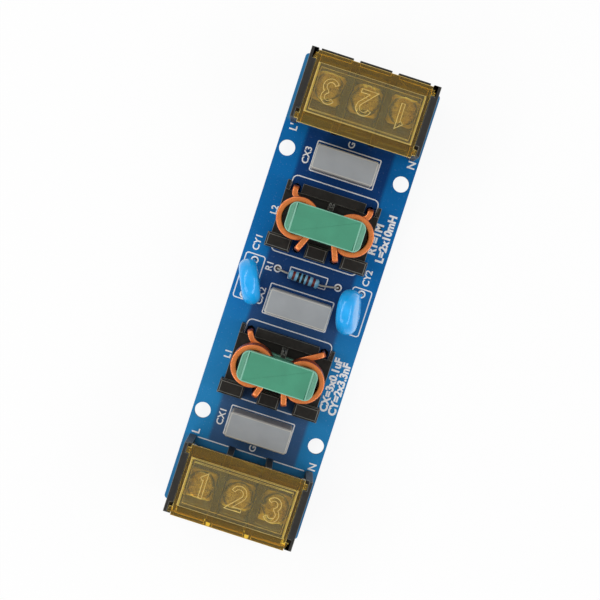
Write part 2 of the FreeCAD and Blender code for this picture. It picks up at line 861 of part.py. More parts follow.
def solder_joints(places, leads):
    """Solder fillets under the board, each drawn up round its lead."""
    fillets = []
    for x, y, radius in places:
        foot = radius + hole_clearance + solder_rim
        tip = radius + solder_lip
        cone = tapered(Vector(x, y, -solder_height), Vector(x, y, 0), tip, foot, solder_sides)
        for lead in leads:
            if cone.BoundBox.intersect(lead.BoundBox) and cone.common(lead).Volume > 1e-9:
                cone = cone.cut(lead)
        fillets.append(cone)
    return Part.Compound(fillets)


def build():
    nodes = {"circuit_board": circuit_board()}
    nodes.update(terminal_nodes())
    nodes.update(choke_nodes())
    nodes.update(box_capacitor_nodes())
    nodes.update(disc_capacitor_nodes())
    nodes.update(resistor_nodes())
    pins = [shape for name, shape in nodes.items() if "_contact_" in name]
    leads = []
    for name, shape in nodes.items():
        if "_leads" in name or "_winding_" in name:
            leads.extend(shape.Solids)
    nodes["terminal_solder"] = solder_joints(terminal_pin_places(), pins)
    nodes["component_solder"] = solder_joints(component_lead_places(), leads)
    return nodes


os.makedirs("parts", exist_ok=True)
for node_name, node_shape in build().items():
    node_shape.exportStep("parts/%s.step" % node_name)
    print(node_name, len(node_shape.Solids), round(node_shape.Volume, 2), node_shape.isValid())
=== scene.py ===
import math

import bmesh
import bpy
from bpy.props import FloatProperty, FloatVectorProperty, IntProperty, PointerProperty
from mathutils import Matrix, Vector


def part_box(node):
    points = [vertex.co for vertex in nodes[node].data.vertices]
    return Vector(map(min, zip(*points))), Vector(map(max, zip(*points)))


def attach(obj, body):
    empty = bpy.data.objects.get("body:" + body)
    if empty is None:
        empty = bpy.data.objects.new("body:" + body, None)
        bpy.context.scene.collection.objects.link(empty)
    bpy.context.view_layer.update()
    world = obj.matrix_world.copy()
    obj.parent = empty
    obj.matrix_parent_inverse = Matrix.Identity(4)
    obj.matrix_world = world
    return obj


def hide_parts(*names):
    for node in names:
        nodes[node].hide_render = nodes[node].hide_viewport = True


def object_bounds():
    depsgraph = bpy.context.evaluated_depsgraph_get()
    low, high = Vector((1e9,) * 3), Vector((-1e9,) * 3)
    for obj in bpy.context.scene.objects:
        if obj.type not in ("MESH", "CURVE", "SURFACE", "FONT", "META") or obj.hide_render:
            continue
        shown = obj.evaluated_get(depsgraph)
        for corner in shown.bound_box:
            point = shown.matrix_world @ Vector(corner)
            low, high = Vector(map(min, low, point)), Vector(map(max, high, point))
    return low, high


bl_info = {
    "name": "Line Filter Board",
    "version": (1, 0, 0),
    "blender": (4, 5, 0),
    "location": "View3D > Sidebar > Line Filter",
    "description": "Dresses a two-stage mains line filter board and sets up its studio",
    "category": "Object",
}

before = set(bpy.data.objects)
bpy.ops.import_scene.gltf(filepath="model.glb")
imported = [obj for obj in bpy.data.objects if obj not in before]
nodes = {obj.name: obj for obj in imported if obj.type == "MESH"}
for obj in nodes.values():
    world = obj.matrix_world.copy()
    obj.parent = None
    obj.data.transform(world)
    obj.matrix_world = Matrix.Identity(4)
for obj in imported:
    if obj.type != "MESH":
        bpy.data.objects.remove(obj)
cad_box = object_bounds()

MM = 0.001
UP = Vector((0, 0, 1))
ENDS = ("input", "output")
POLES = (1, 2, 3)
HANDS = (("left", -1), ("right", 1))
BOARD_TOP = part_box("circuit_board")[1].z / MM

# A face of more square millimetres than this is shaded flat, an edge of more degrees is sharp.
BROAD_FACE = 6.0
SHARP_ANGLE = 35


def rgb(red, green, blue):
    """A linear colour from display values of 0 to 255."""
    linear = []
    for value in (red, green, blue):
        share = value / 255
        linear.append(share / 12.92 if share <= 0.04045 else ((share + 0.055) / 1.055) ** 2.4)
    return tuple(linear) + (1.0,)


def colour_property(name, description, colour):
    return FloatVectorProperty(
        name=name, description=description, default=colour, size=4, min=0, max=1, subtype="COLOR"
    )


def length_property(name, description, millimetres):
    return FloatProperty(name=name, description=description, default=millimetres * MM, min=0, unit="LENGTH")


def toned(colour, gain, lift=0.0):
    """A colour with its channels times a gain, the same or one for each, and then lifted."""
    gains = gain if isinstance(gain, tuple) else (gain, gain, gain)
    return tuple(min(value * share + lift, 1.0) for value, share in zip(colour[:3], gains)) + (1.0,)


class Link:
    """A shader value that Python's operators work on."""

    def __init__(self, paint, socket):
        self.paint = paint
        self.socket = socket

    def maths(self, operation, *values):
        return self.paint.add("ShaderNodeMath", {"operation": operation}, dict(enumerate(values)))

    def __add__(self, other):
        return self.maths("ADD", self, other)

    __radd__ = __add__

    def __sub__(self, other):
        return self.maths("SUBTRACT", self, other)

    def __rsub__(self, other):
        return self.maths("SUBTRACT", other, self)

    def __mul__(self, other):
        return self.maths("MULTIPLY", self, other)

    __rmul__ = __mul__

    def __gt__(self, other):
        return self.maths("GREATER_THAN", self, other)

    def __lt__(self, other):
        return self.maths("LESS_THAN", self, other)

    def __abs__(self):
        return self.maths("ABSOLUTE", self)

    def maximum(self, other):
        return self.maths("MAXIMUM", self, other)


class Paint:
    """A material's node tree. add() makes any node, and uniform values go straight on the shader."""

    def __init__(self, name, **uniform):
        self.material = bpy.data.materials.new(name)
        self.material.use_nodes = True
        self.tree = self.material.node_tree
        self.shader = self.tree.nodes["Principled BSDF"]
        for key, value in uniform.items():
            self.feed(key.replace("_", " "), value)
        metres = self.add("ShaderNodeTexCoord", output=3)
        in_millimetres = {0: metres, "Scale": 1 / MM}
        self.place = self.add("ShaderNodeVectorMath", {"operation": "SCALE"}, in_millimetres)

    def add(self, kind, settings=None, values=None, output=0):
        node = self.tree.nodes.new(kind)
        for key, value in (settings or {}).items():
            setattr(node, key, value)
        for key, value in (values or {}).items():
            self.join(node.inputs[key], value)
        return Link(self, node.outputs[output])

    def join(self, socket, value):
        if isinstance(value, Link):
            self.tree.links.new(value.socket, socket)
        else:
            socket.default_value = value

    def feed(self, socket_name, value):
        self.join(self.shader.inputs[socket_name], value)

    def parts(self, vector):
        return [self.add("ShaderNodeSeparateXYZ", None, {0: vector}, output=i) for i in range(3)]

    def level(self):
        """How much the surface faces straight up or down, from 0 to 1."""
        return abs(self.parts(self.add("ShaderNodeNewGeometry", output=1))[2])

    def stretched(self, scale, turn=0.0):
        """The place with each direction scaled, for marks that run one way."""
        values = {0: self.place, "Rotation": (0.0, 0.0, turn), "Scale": scale}
        return self.add("ShaderNodeMapping", {"vector_type": "POINT"}, values)

    def noise(self, scale, detail, roughness, distortion=0.0, place=None):
        values = {"Vector": place or self.place, "Scale": scale, "Detail": detail}
        values.update({"Roughness": roughness, "Distortion": distortion})
        return self.add("ShaderNodeTexNoise", None, values)

    def mix(self, share, first, second):
        values = {0: share, 6: first, 7: second}
        return self.add("ShaderNodeMix", {"data_type": "RGBA"}, values, output=2)

    def span(self, value, low, high, start=0.0, end=1.0, kind="LINEAR"):
        """Moves a value's range, with both ends held."""
        values = {0: value, 1: low, 2: high, 3: start, 4: end}
        return self.add("ShaderNodeMapRange", {"interpolation_type": kind}, values)

    def soft(self, value, low, high):
        """A soft-edged mask that rises from 0 at low to 1 at high."""
        return self.span(value, low, high, kind="SMOOTHSTEP")

    def finish(self, colour, roughness, height, strength, millimetres):
        """Feeds the colour, the roughness and the bump, and gives the material."""
        bump = {"Height": height, "Strength": strength, "Distance": millimetres * MM}
        self.feed("Base Color", colour)
        self.feed("Roughness", roughness)
        self.feed("Normal", self.add("ShaderNodeBump", None, bump))
        return self.material


def smooth(mesh, degrees):
    """Shades a mesh smooth, but not over edges sharper than an angle."""
    mesh.shade_smooth()
    mesh.set_sharp_from_angle(angle=math.radians(degrees))


def link_object(name, mesh, materials, smooth_angle=None):
    """Puts a new mesh into the scene with its finishes."""
    for material in materials:
        mesh.materials.append(material)
    obj = bpy.data.objects.new(name, mesh)
    bpy.context.scene.collection.objects.link(obj)
    if smooth_angle is not None:
        smooth(mesh, smooth_angle)
    return obj


def finish_mesh(name, bm):
    """Writes a mesh built in millimetres to a mesh in metres, with its faces turned outwards."""
    bmesh.ops.recalc_face_normals(bm, faces=bm.faces)
    bm.transform(Matrix.Scale(MM, 4))
    mesh = bpy.data.meshes.new(name)
    bm.to_mesh(mesh)
    bm.free()
    return mesh


def settle(obj, body, slot, *replaced):
    """Says which body a piece rides on and hides the nodes it stands for. The slot argument is not used."""
    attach(obj, body)
    if replaced:
        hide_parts(*replaced)


def add_piece(name, bm, materials, smooth_angle, body, slot, *replaced):
    """Adds a mesh built in millimetres as a settled piece."""
    obj = link_object(name, finish_mesh(name, bm), materials, smooth_angle)
    settle(obj, body, slot, *replaced)
    return obj


def paint_node(name, material):
    """Puts a finish on one of the part's own meshes."""
    mesh = nodes[name].data
    mesh.materials.clear()
    mesh.materials.append(material)


def add_modifier(obj, kind, **settings):
    modifier = obj.modifiers.new(kind.lower(), kind)
    for key, value in settings.items():
        setattr(modifier, key, value)


def applied(obj):
    """Writes an object's modifiers into its mesh."""
    depsgraph = bpy.context.evaluated_depsgraph_get()
    mesh = bpy.data.meshes.new_from_object(obj.evaluated_get(depsgraph))
    obj.modifiers.clear()
    old = obj.data
    obj.data = mesh
    bpy.data.meshes.remove(old)


def pour(source, target):
    """Moves what one mesh under construction holds into another."""
    mesh = bpy.data.meshes.new("poured")
    source.to_mesh(mesh)
    source.free()
    target.from_mesh(mesh)
    bpy.data.meshes.remove(mesh)


def softened_copy(node, width, segments=2, edge_slot=0, sharp=30.0):
    """A node's mesh with its seams welded, flat faces joined and sharp edges rounded, in millimetres."""
    bm = bmesh.new()
    bm.from_mesh(nodes[node].data)
    bm.transform(Matrix.Scale(1 / MM, 4))
    bmesh.ops.remove_doubles(bm, verts=bm.verts, dist=0.001)
    bmesh.ops.dissolve_limit(bm, angle_limit=math.radians(1.0), verts=bm.verts, edges=bm.edges)
    if width:
        edges = [edge for edge in bm.edges if edge.calc_face_angle(0.0) > math.radians(sharp)]
        softened = bmesh.ops.bevel(
            bm, geom=edges, offset=width, segments=segments, profile=0.5, affect="EDGES", clamp_overlap=False
        )
        for face in softened["faces"]:
            face.material_index = edge_slot
    return bm


def dressed(node, body, slot, materials, width, segments=2, sharp=30.0):
    """A rounded-edge copy of a node that stands for it. A second material, where given, goes on its rounded
    edges as a paler painted highlight.
    """
    bm = softened_copy(node, width, segments, len(materials) - 1, sharp)
    bmesh.ops.triangulate(bm, faces=[face for face in bm.faces if len(face.verts) > 4])
    obj = link_object(node + "_surface", finish_mesh(node, bm), materials, SHARP_ANGLE)
    for face in obj.data.polygons:
        if face.area > BROAD_FACE * MM * MM:
            face.use_smooth = False
    settle(obj, body, slot, node)


def shares(steps):
    """Even steps from 0 to 1."""
    return [k / steps for k in range(steps + 1)]


def spoke(angle):
    """The direction at an angle in the plane."""
    return Vector((math.cos(angle), math.sin(angle), 0))


def turn_angles(count):
    return [math.tau * k / count for k in range(count)]


def add_band(bm, before, after):
    """Faces between two rings of points, either of which may be a single point."""
    count = max(len(before), len(after))
    for k in range(count):
        beside = (k + 1) % count
        corners = [before[k % len(before)], before[beside % len(before)]]
        corners += [after[beside % len(after)], after[k % len(after)]]
        bm.faces.new(list(dict.fromkeys(corners)))


def sweep(bm, rings, closed=False):
    """Faces through rings of matching points, with both ends capped unless closed."""
    made = [[bm.verts.new(point) for point in ring] for ring in rings]
    for before, after in zip(made, made[1:]):
        add_band(bm, before, after)
    if closed:
        add_band(bm, made[-1], made[0])
    else:
        bm.faces.new(reversed(made[0]))
        bm.faces.new(made[-1])


def lathe(bm, profile, sides, matrix=None):
    """Turns a profile of (radius, height) about the Z axis. A radius of 0 ends it in a point."""
    rings = []
    for radius, height in profile:
        angles = turn_angles(sides) if radius else [0.0]
        points = [(radius * math.cos(angle), radius * math.sin(angle), height) for angle in angles]
        rings.append([bm.verts.new(point) for point in points])
    for before, after in zip(rings, rings[1:]):
        add_band(bm, before, after)
    if matrix:
        bmesh.ops.transform(bm, matrix=matrix, verts=[vert for ring in rings for vert in ring])


def around(centre, side, other, radius, sides):
    """A ring of points about a centre."""
    ring = []
    for angle in turn_angles(sides):
        ring.append(centre + side * (radius * math.cos(angle)) + other * (radius * math.sin(angle)))
    return ring


def rounded_path(points, radius):
    """Straight runs with each corner turned on an arc, as (point, direction) pairs."""
    points = [Vector(point) for point in points]
    path = [(points[0], (points[1] - points[0]).normalized())]
    for before, corner, after in zip(points, points[1:], points[2:]):
        inward = (corner - before).normalized()
        outward = (after - corner).normalized()
        turn = inward.angle(outward)
        reach = min(radius * math.tan(turn / 2), (corner - before).length / 2, (after - corner).length / 2)
        start = corner - inward * reach
        end = corner + outward * reach
        for t in shares(CORNER_STEPS):
            point = start * (1 - t) ** 2 + corner * (2 * t * (1 - t)) + end * t * t
            path.append((point, inward.lerp(outward, t).normalized()))
    path.append((points[-1], (points[-1] - points[-2]).normalized()))
    return path


def wire(bm, points, radius, bend=0.6, sides=14):
    """A round wire along bent runs, with clipped ends slightly rounded."""
    path = rounded_path(points, bend)
    side = path[0][1].orthogonal().normalized()
    chamfer = radius * 0.25
    tip_radius = radius * 0.72
    rings = []
    for index, (point, direction) in enumerate(path):
        side = (side - direction * side.dot(direction)).normalized()
        other = direction.cross(side)
        if index in (0, len(path) - 1):
            step = direction * chamfer * (1 if index == 0 else -1)
            tip = around(point, side, other, tip_radius, sides)
            shoulder = around(point + step, side, other, radius, sides)
            rings += [tip, shoulder] if index == 0 else [shoulder, tip]
        else:
            rings.append(around(point, side, other, radius, sides))
    sweep(bm, rings)


def strip(bm, points, width, low, high, closed=False):
    """A flat line of even width along points in the plane, as a thin closed slab."""
    sharpest_mitre = 0.3
    points = [Vector((x, y, 0)) for x, y in points]
    runs = [(after - point).normalized() for point, after in zip(points, points[1:])]
    closing = (points[0] - points[-1]).normalized()
    first, last = (closing, closing) if closed else (runs[0], runs[-1])
    rings = []
    for point, inward, outward in zip(points, [first] + runs, runs + [last]):
        mitre = (inward + outward).normalized()
        across = UP.cross(mitre) * (width / 2 / max(mitre.dot(inward), sharpest_mitre))
        corners = ((1, low), (-1, low), (-1, high), (1, high))
        rings.append([point + across * side + UP * level for side, level in corners])
    sweep(bm, rings, closed)


def flat_ring(bm, x, y, low, height, inner, outer):
    """A flat ring as a closed slab."""
    centre = Vector((x, y, low))
    corners = ((inner, 0), (outer, 0), (outer, height), (inner, height))
    loops = []
    for angle in turn_angles(26):
        loops.append([centre + spoke(angle) * reach + UP * rise for reach, rise in corners])
    sweep(bm, loops, closed=True)


def rounded_outline(x0, x1, y0, y1, radius, steps=4):
    """A rectangle with rounded corners, as points."""
    points = []
    for x, y, start in ((x1, y1, 0), (x0, y1, 90), (x0, y0, 180), (x1, y0, 270)):
        centre_x = x - radius if x == x1 else x + radius
        centre_y = y - radius if y == y1 else y + radius
        points += arc_points(centre_x, centre_y, radius, start, start + 90, steps)
    return points


def arc_points(x, y, radius, start, end, steps=12):
    points = []
    for k in range(steps + 1):
        angle = math.radians(start + (end - start) * k / steps)
        points.append((x + radius * math.cos(angle), y + radius * math.sin(angle)))
    return points


class FilterSizes(bpy.types.PropertyGroup):
    """Sizes of the dressed pieces."""

    moulding_edge: length_property("Moulding edge", "Rounding on the edges of the black mouldings", 0.12)
    cover_edge: length_property("Cover edge", "Rounding on the edges of the clear covers", 0.1)
    case_edge: length_property("Case edge", "Rounding on the edges of the box capacitors", 0.13)
    core_edge: length_property("Core edge", "Rounding on the edges of the coated cores", 0.3)
    metal_edge: length_property("Metal edge", "Rounding on the edges of the stamped terminals", 0.1)
    wire_width: length_property("Wire width", "Width of the flat copper wire", 1.65)
    wire_thickness: length_property("Wire thickness", "Thickness of the flat copper wire", 0.85)
    turn_pitch: length_property("Turn pitch", "Rise of the coil in one turn", 1.08)
    line_width: length_property("Line width", "Width of the printed lines", 0.32)
    print_height: length_property("Print height", "Thickness of the printed ink", 0.03)
    digit_height: length_property("Digit height", "How far the cover's digits stand up", 0.3)
    disc_radius: length_property("Disc radius", "Radius of the dipped disc capacitors", 6.35)
    disc_thickness: length_property("Disc thickness", "Thickness of the dipped disc capacitors", 5.4)
    thread_pitch: length_property("Thread pitch", "Pitch of the terminal screws", 0.7)
    turn_steps: IntProperty(
        name="Steps in a turn", description="Sections in one turn of the coil", default=40, min=12
    )


class FilterColours(bpy.types.PropertyGroup):
    """Colours of the finishes."""

    lacquer_inner: colour_property("Lacquer", "Board lacquer along the middle", rgb(8, 62, 124))
    lacquer_low: colour_property("Paler lacquer", "Middle lacquer towards the input", rgb(60, 96, 140))
    lacquer_outer: colour_property("Lacquer at the sides", "Side lacquer near the output", rgb(2, 108, 178))
    lacquer_side: colour_property("Paler side lacquer", "Side lacquer near the input", rgb(38, 134, 194))
    lacquer_end: colour_property("Lacquer at the ends", "Board lacquer at the blocks", rgb(50, 130, 184))
    laminate: colour_property("Laminate", "Bare edge of the board", rgb(108, 150, 172))
    moulding: colour_property("Moulding", "Black moulded parts", rgb(25, 23, 20))
    # Painted highlight: this paler colour goes on the rounded edges of the black parts and stands in for
    # light catching them.
    moulding_edge_highlight: colour_property("Moulding rim", "Rubbed edges of the black parts", rgb(92, 92, 86))
    cover: colour_property("Cover", "Clear amber covers", rgb(248, 204, 66))
    crown: colour_property("Crown", "Thinner top of the amber covers", rgb(246, 238, 176))
    # Painted glint: this paler amber goes on the covers' rounded edges and stands in for light gathered in
    # them.
    cover_edge_glint: colour_property("Cover rim", "Edges of the amber covers", rgb(232, 204, 116))
    core: colour_property("Core", "Green coating of the cores", rgb(66, 148, 116))
    # Painted highlight: this paler green goes on the cores' rounded edges and folds and stands in for light
    # catching them.
    core_edge_highlight: colour_property("Core rim", "Thin coating over the edges of the cores", rgb(126, 190, 164))
    copper: colour_property("Copper", "Enamelled copper wire", rgb(236, 132, 62))
    case: colour_property("Case", "Grey box capacitors", rgb(142, 145, 148))
    # Painted highlight: this paler grey goes on the capacitors' rounded edges and stands in for light
    # catching them.
    case_edge_highlight: colour_property("Case rim", "Edges of the box capacitors", rgb(176, 174, 166))
    disc: colour_property("Disc", "Blue dipped coating", rgb(0, 164, 240))
    resistor: colour_property("Resistor", "Lacquer of the resistor", rgb(104, 178, 214))
    ink: colour_property("Ink", "Printed lines and letters", rgb(250, 250, 250))
    tin: colour_property("Tin", "Tinned leads and solder", rgb(214, 212, 200))
    plating: colour_property("Plating", "Plated screws and clamp plates", rgb(232, 222, 184))
    floor: colour_property("Floor", "Studio floor", (0.9, 0.9, 0.9, 1.0))


def sizes():
    return bpy.context.scene.filter_sizes


def colours():
    return bpy.context.scene.filter_colours


def in_mm(name):
    return getattr(sizes(), name) / MM


def board_paint():
    """Blue lacquer over copper areas and weave, bare laminate at every edge and dark lead holes."""
    shade = colours()
    paint = Paint("board_lacquer", Specular_IOR_Level=0.12, IOR=1.5)
    x, y = paint.parts(paint.place)[:2]
    outer = paint.soft(abs(x), 11.9, 13.3)
    ends = paint.soft(abs(y), 45.4, 46.6)
    drift = paint.noise(0.09, 2.0, 0.5)
    low = paint.soft(0 - y + (drift - 0.5) * 30, -22.0, 36.0)
    inner = paint.mix(low, shade.lacquer_inner, shade.lacquer_low)
    side = paint.mix(low, shade.lacquer_outer, shade.lacquer_side)
    colour = paint.mix(ends, paint.mix(outer, inner, side), shade.lacquer_end)
    values = {"Vector": paint.stretched((1.0, 1.0, 0.2)), "Scale": 0.55, "Distortion": 0.6, "Detail": 1.0}
    waves = [paint.add("ShaderNodeTexWave", {"bands_direction": run}, values, output=1) for run in "XY"]
    weave = waves[0] * waves[1]
    speck = paint.noise(2.2, 3.0, 0.6)
    colour = paint.mix(weave * 0.07, colour, shade.lacquer_outer)
    colour = paint.mix(paint.span(speck, 0.62, 0.8, 0.0, 0.12), colour, shade.ink)
    flat = paint.soft(paint.level(), 0.6, 0.9)
    fibre = paint.noise(3.0, 4.0, 0.6)
    edge = paint.mix(paint.span(fibre, 0.3, 0.7), shade.laminate, rgb(60, 120, 160))
    across = abs(x) - MOUNT[0]
    along = abs(y) - MOUNT[1]
    border = (abs(x) > 19.0).maximum(abs(y) > 64.0)
    bare = border.maximum(across * across + along * along < 7.0)
    edge = paint.mix(bare, rgb(58, 46, 36), edge)
    rough = paint.span(speck, 0.3, 0.75, 0.42, 0.56) + (1 - flat) * 0.3
    height = outer * 1.2 + weave * 0.25 + speck * 0.15
    return paint.finish(paint.mix(flat, edge, colour), rough, height, 0.35, 0.035)


def moulding_paint(name, base, shine=0.5):
    """Moulded plastic with a fine spark-eroded grain, flow marks and paler rubbed patches."""
    paint = Paint(name, IOR=1.5, Specular_IOR_Level=shine)
    grain = paint.noise(9.0, 4.0, 0.65)
    flow = paint.noise(0.45, 3.0, 0.5, 0.8)
    scuff = paint.noise(1.6, 5.0, 0.7, 1.4)
    colour = paint.mix(paint.span(flow, 0.35, 0.7), base, toned(base, 1.5, 0.003))
    colour = paint.mix(paint.span(scuff, 0.6, 0.74, 0.0, 0.55), colour, toned(base, 2.2, 0.008))
    return paint.finish(colour, paint.span(grain, 0.3, 0.7, 0.34, 0.56), grain + scuff * 0.6, 0.4, 0.03)


def cover_paint(name, colour, crown, roughness, weight):
    """Clear amber plastic, paler over the crown, with faint flow lines and dust in the surface."""
    paint = Paint(name, IOR=1.45, Transmission_Weight=weight)
    height = paint.parts(paint.place)[2]
    top = BOARD_TOP + BLOCK_TOP
    tone = paint.mix(paint.soft(height, top - 0.9, top - 0.3), colour, crown)
    flow = paint.noise(0.3, 3.0, 0.5, 1.0)
    dust = paint.noise(6.0, 4.0, 0.7)
    tone = paint.mix(paint.span(flow, 0.35, 0.7, 0.0, 0.3), tone, toned(colour, (0.9, 0.84, 0.7)))
    rough = paint.span(dust, 0.35, 0.8, roughness, roughness + 0.06)
    return paint.finish(tone, rough, flow * 2.0 + dust * 0.15, 0.2, 0.05)


def metal_paint(name, colour, roughness, stain_and_shade, stain_and_shade_share, bareness=0.75):
    """Plated or tinned metal with drawn lines and darker patches, which are stains on most metals and
    painted shade on the contacts and round the resistor's holes.
    """
    paint = Paint(name, Metallic=bareness)
    drawn = paint.noise(1.4, 4.0, 0.6, place=paint.stretched((7.0, 1.2, 7.0)))
    patch = paint.noise(0.8, 3.0, 0.5, 0.8)
    shade = paint.mix(paint.span(patch, 0.4, 0.75, 0.0, stain_and_shade_share), colour, stain_and_shade)
    rough = paint.span(drawn, 0.3, 0.7, roughness, roughness + 0.2)
    return paint.finish(shade, rough, drawn + patch * 0.5, 0.25, 0.02)


def copper_paint():
    """Enamelled copper: warm metal under a clear varnish, with painted shade where it faces sideways."""
    copper = colours().copper
    paint = Paint("enamelled_copper", Metallic=0.6, Coat_Weight=0.5, Coat_Roughness=0.12, IOR=1.5)
    marks = paint.noise(1.1, 4.0, 0.6, 0.6)
    patch = paint.noise(0.35, 2.0, 0.5)
    # This dark tone serves both the real dark marks and the painted shade on the sides.
    dark = toned(copper, (0.4, 0.22, 0.14))
    colour = paint.mix(paint.span(patch, 0.35, 0.65), copper, toned(copper, 1.15))
    colour = paint.mix(paint.span(marks, 0.56, 0.76, 0.0, 0.5), colour, dark)
    # Painted shade: where the wire faces sideways it takes the dark tone.
    colour = paint.mix(paint.soft(paint.level(), 0.5, 0.98), dark, colour)
    return paint.finish(colour, paint.span(marks, 0.3, 0.7, 0.22, 0.42), marks, 0.3, 0.03)


def core_paint(name, base, pale_share):
    """Green coating on the ferrite, slightly uneven, with paler specks."""
    paint = Paint(name, Coat_Weight=0.25, Coat_Roughness=0.25, IOR=1.5)
    peel = paint.noise(1.3, 3.0, 0.5)
    cloud = paint.noise(0.16, 3.0, 0.5, 0.6)
    speck = paint.noise(5.0, 3.0, 0.7)
    colour = paint.mix(paint.span(cloud, 0.3, 0.7), toned(base, 0.84), base)
    colour = paint.mix(paint.span(speck, 0.55, 0.75, 0.0, pale_share), colour, toned(base, 1.5, 0.04))
    return paint.finish(colour, paint.span(peel, 0.3, 0.7, 0.34, 0.5), peel + speck * 0.25, 0.45, 0.06)


def case_paint(name, base):
    """Grey moulded box with a matt grain and faint scratches."""
    paint = Paint(name, IOR=1.48)
    grain = paint.noise(8.0, 3.0, 0.6)
    cloud = paint.noise(0.2, 2.0, 0.5)
    scratch = paint.noise(1.2, 4.0, 0.6, place=paint.stretched((0.25, 4.5, 1.0), 0.5))
    colour = paint.mix(paint.span(cloud, 0.3, 0.7), base, toned(base, 1.12))
    colour = paint.mix(paint.span(scratch, 0.66, 0.74, 0.0, 0.2), colour, rgb(184, 186, 188))
    return paint.finish(colour, paint.span(grain, 0.3, 0.7, 0.4, 0.58), grain, 0.3, 0.025)


def disc_paint():
    """Bright blue dipped epoxy, glossy, with a slow swell, deeper in colour towards the board."""
    blue = colours().disc
    paint = Paint("blue_dip", Coat_Weight=0.35, Coat_Roughness=0.04, IOR=1.42)
    swell = paint.noise(0.32, 2.0, 0.4)
    peel = paint.noise(2.6, 2.0, 0.5)
    colour = paint.mix(paint.span(swell, 0.3, 0.7), blue, toned(blue, 1.15, 0.02))
    low = paint.soft(0 - paint.parts(paint.place)[2], -6.0, -3.0)
    colour = paint.mix(low * 0.6, colour, toned(blue, (0.55, 0.72, 0.86)))
    return paint.finish(colour, paint.span(peel, 0.3, 0.7, 0.14, 0.26), swell * 3.0 + peel * 0.12, 0.5, 0.12)


def band_paint(start, end, bands):
    """Pale blue lacquer with colour bands across the body's own length."""
    paint = Paint("resistor_lacquer", Coat_Weight=0.6, Coat_Roughness=0.12, IOR=1.52)
    axis = (end - start).normalized()
    given = {0: paint.place, 1: tuple(start)}
    from_start = paint.add("ShaderNodeVectorMath", {"operation": "SUBTRACT"}, given)
    given = {0: from_start, 1: tuple(axis)}
    along = paint.add("ShaderNodeVectorMath", {"operation": "DOT_PRODUCT"}, given, output=1)
    wobble = paint.noise(1.2, 2.0, 0.5)
    along = along + (wobble - 0.5) * 0.16
    colour = paint.mix(paint.span(wobble, 0.35, 0.7), colours().resistor, rgb(150, 206, 232))
    for centre, half_width, band in bands:
        inside = paint.soft(half_width - abs(along - centre), 0.0, 0.06)
        colour = paint.mix(inside, colour, band)
    return paint.finish(colour, 0.25, wobble, 0.3, 0.05)


def ink_paint():
    """White printing ink, thin and a little broken."""
    paint = Paint("white_ink", IOR=1.48)
    thin = paint.noise(3.2, 4.0, 0.7)
    grain = paint.noise(9.0, 2.0, 0.6)
    colour = paint.mix(paint.span(thin, 0.5, 0.8, 0.0, 0.2), colours().ink, rgb(150, 172, 204))
    return paint.finish(colour, paint.span(grain, 0.3, 0.7, 0.45, 0.65), grain, 0.3, 0.01)


# Sizes of the part itself, in millimetres, as the solids have them.
MOUNT = (16.6, 38.35)
BOARD_END = 65.0
POLE_PITCH = 11.0
BLOCK_TOP = 20.5
CROWN_END = 14.4
CROWN_DEPTH = 1.2
CROWN_MIDDLE = {"input": 9.43, "output": 10.33}
SCREW_Y = 8.6
SCREW_TIP = 2.6
HEAD_BOTTOM = 10.6
HEAD_TOP = 13.2
HEAD_RADIUS = 3.9
SCREW_CREST = 1.9
LIMB_X = 7.15
CHOKE_Y = {"choke_1": -21.1, "choke_2": 20.4}
SLEEVE_HALF = 4.0
COIL_PLAY = 0.1
COIL_WIRE = 1.65
COIL_MIDDLE = (SLEEVE_HALF + COIL_PLAY) / math.cos(math.pi / 12) + COIL_WIRE / 2
COIL_LOW = 5.9
COIL_HIGH = 16.9
COIL_SHIFTS = {"choke_1": 0.0, "choke_2": 0.5}
FRONT_DEPARTURES = {"choke_1": -17.0, "choke_2": -22.0}
FRONT_REACHES = {"choke_1": 5.25, "choke_2": 5.5}
WIRE_BEND = 1.0
REAR_LEAD = (10.7, 8.3)
REAR_DEPARTURES = {("choke_1", "left"): 72.0, ("choke_1", "right"): 52.0}
REAR_HEADINGS = {("choke_1", "left"): -62.0, ("choke_1", "right"): -34.0}
TAIL = -1.7
RESISTOR_PADS = ((-8.8, 5.65), (8.8, 5.65))
RESISTOR_ENDS = ((-5.5, 5.25), (3.5, 4.85))
RESISTOR_AXIS = 1.7
DISCS = {
    "y_capacitor_1": {"pad": (-15.6, 0.95), "centre": (-14.85, 0.1), "turn": 25.0, "lean": 0.0},
    "y_capacitor_2": {"pad": (15.6, 0.95), "centre": (13.3, 0.4), "turn": 9.7, "lean": -14.0},
}
DISC_HEIGHT = 8.4
DISC_LEAD_PITCH = 10.0
BOX_CENTRES = {"x_capacitor_1": -38.3, "x_capacitor_2": -3.1, "x_capacitor_3": 38.0}
BOX_LEAD_PITCH = 15.0
PIN_Y = 50.0

# Sizes that only the finished board has, and how far each kind of lead reaches from its middle.
DIGIT_PITCH = 9.85
PAD_HEIGHT = 0.03
SCREW_CORE = SCREW_CREST - 0.3
LEAD_RADII = {"terminal": 0.72, "wire": 0.93, "box": 0.4, "disc": 0.32, "resistor": 0.3}

# Sections in a corner of a round lead, a bend of the coil wire and its way to the first turn.
CORNER_STEPS = 5
BEND_STEPS = 7
CURVE_STEPS = 12


def block_place(end, x, y, z):
    """A place in a terminal block: x along its length, y in from its wire side, z over the board."""
    side = 1 if end == "input" else -1
    return Vector((side * x, side * (y - BOARD_END), BOARD_TOP + z))


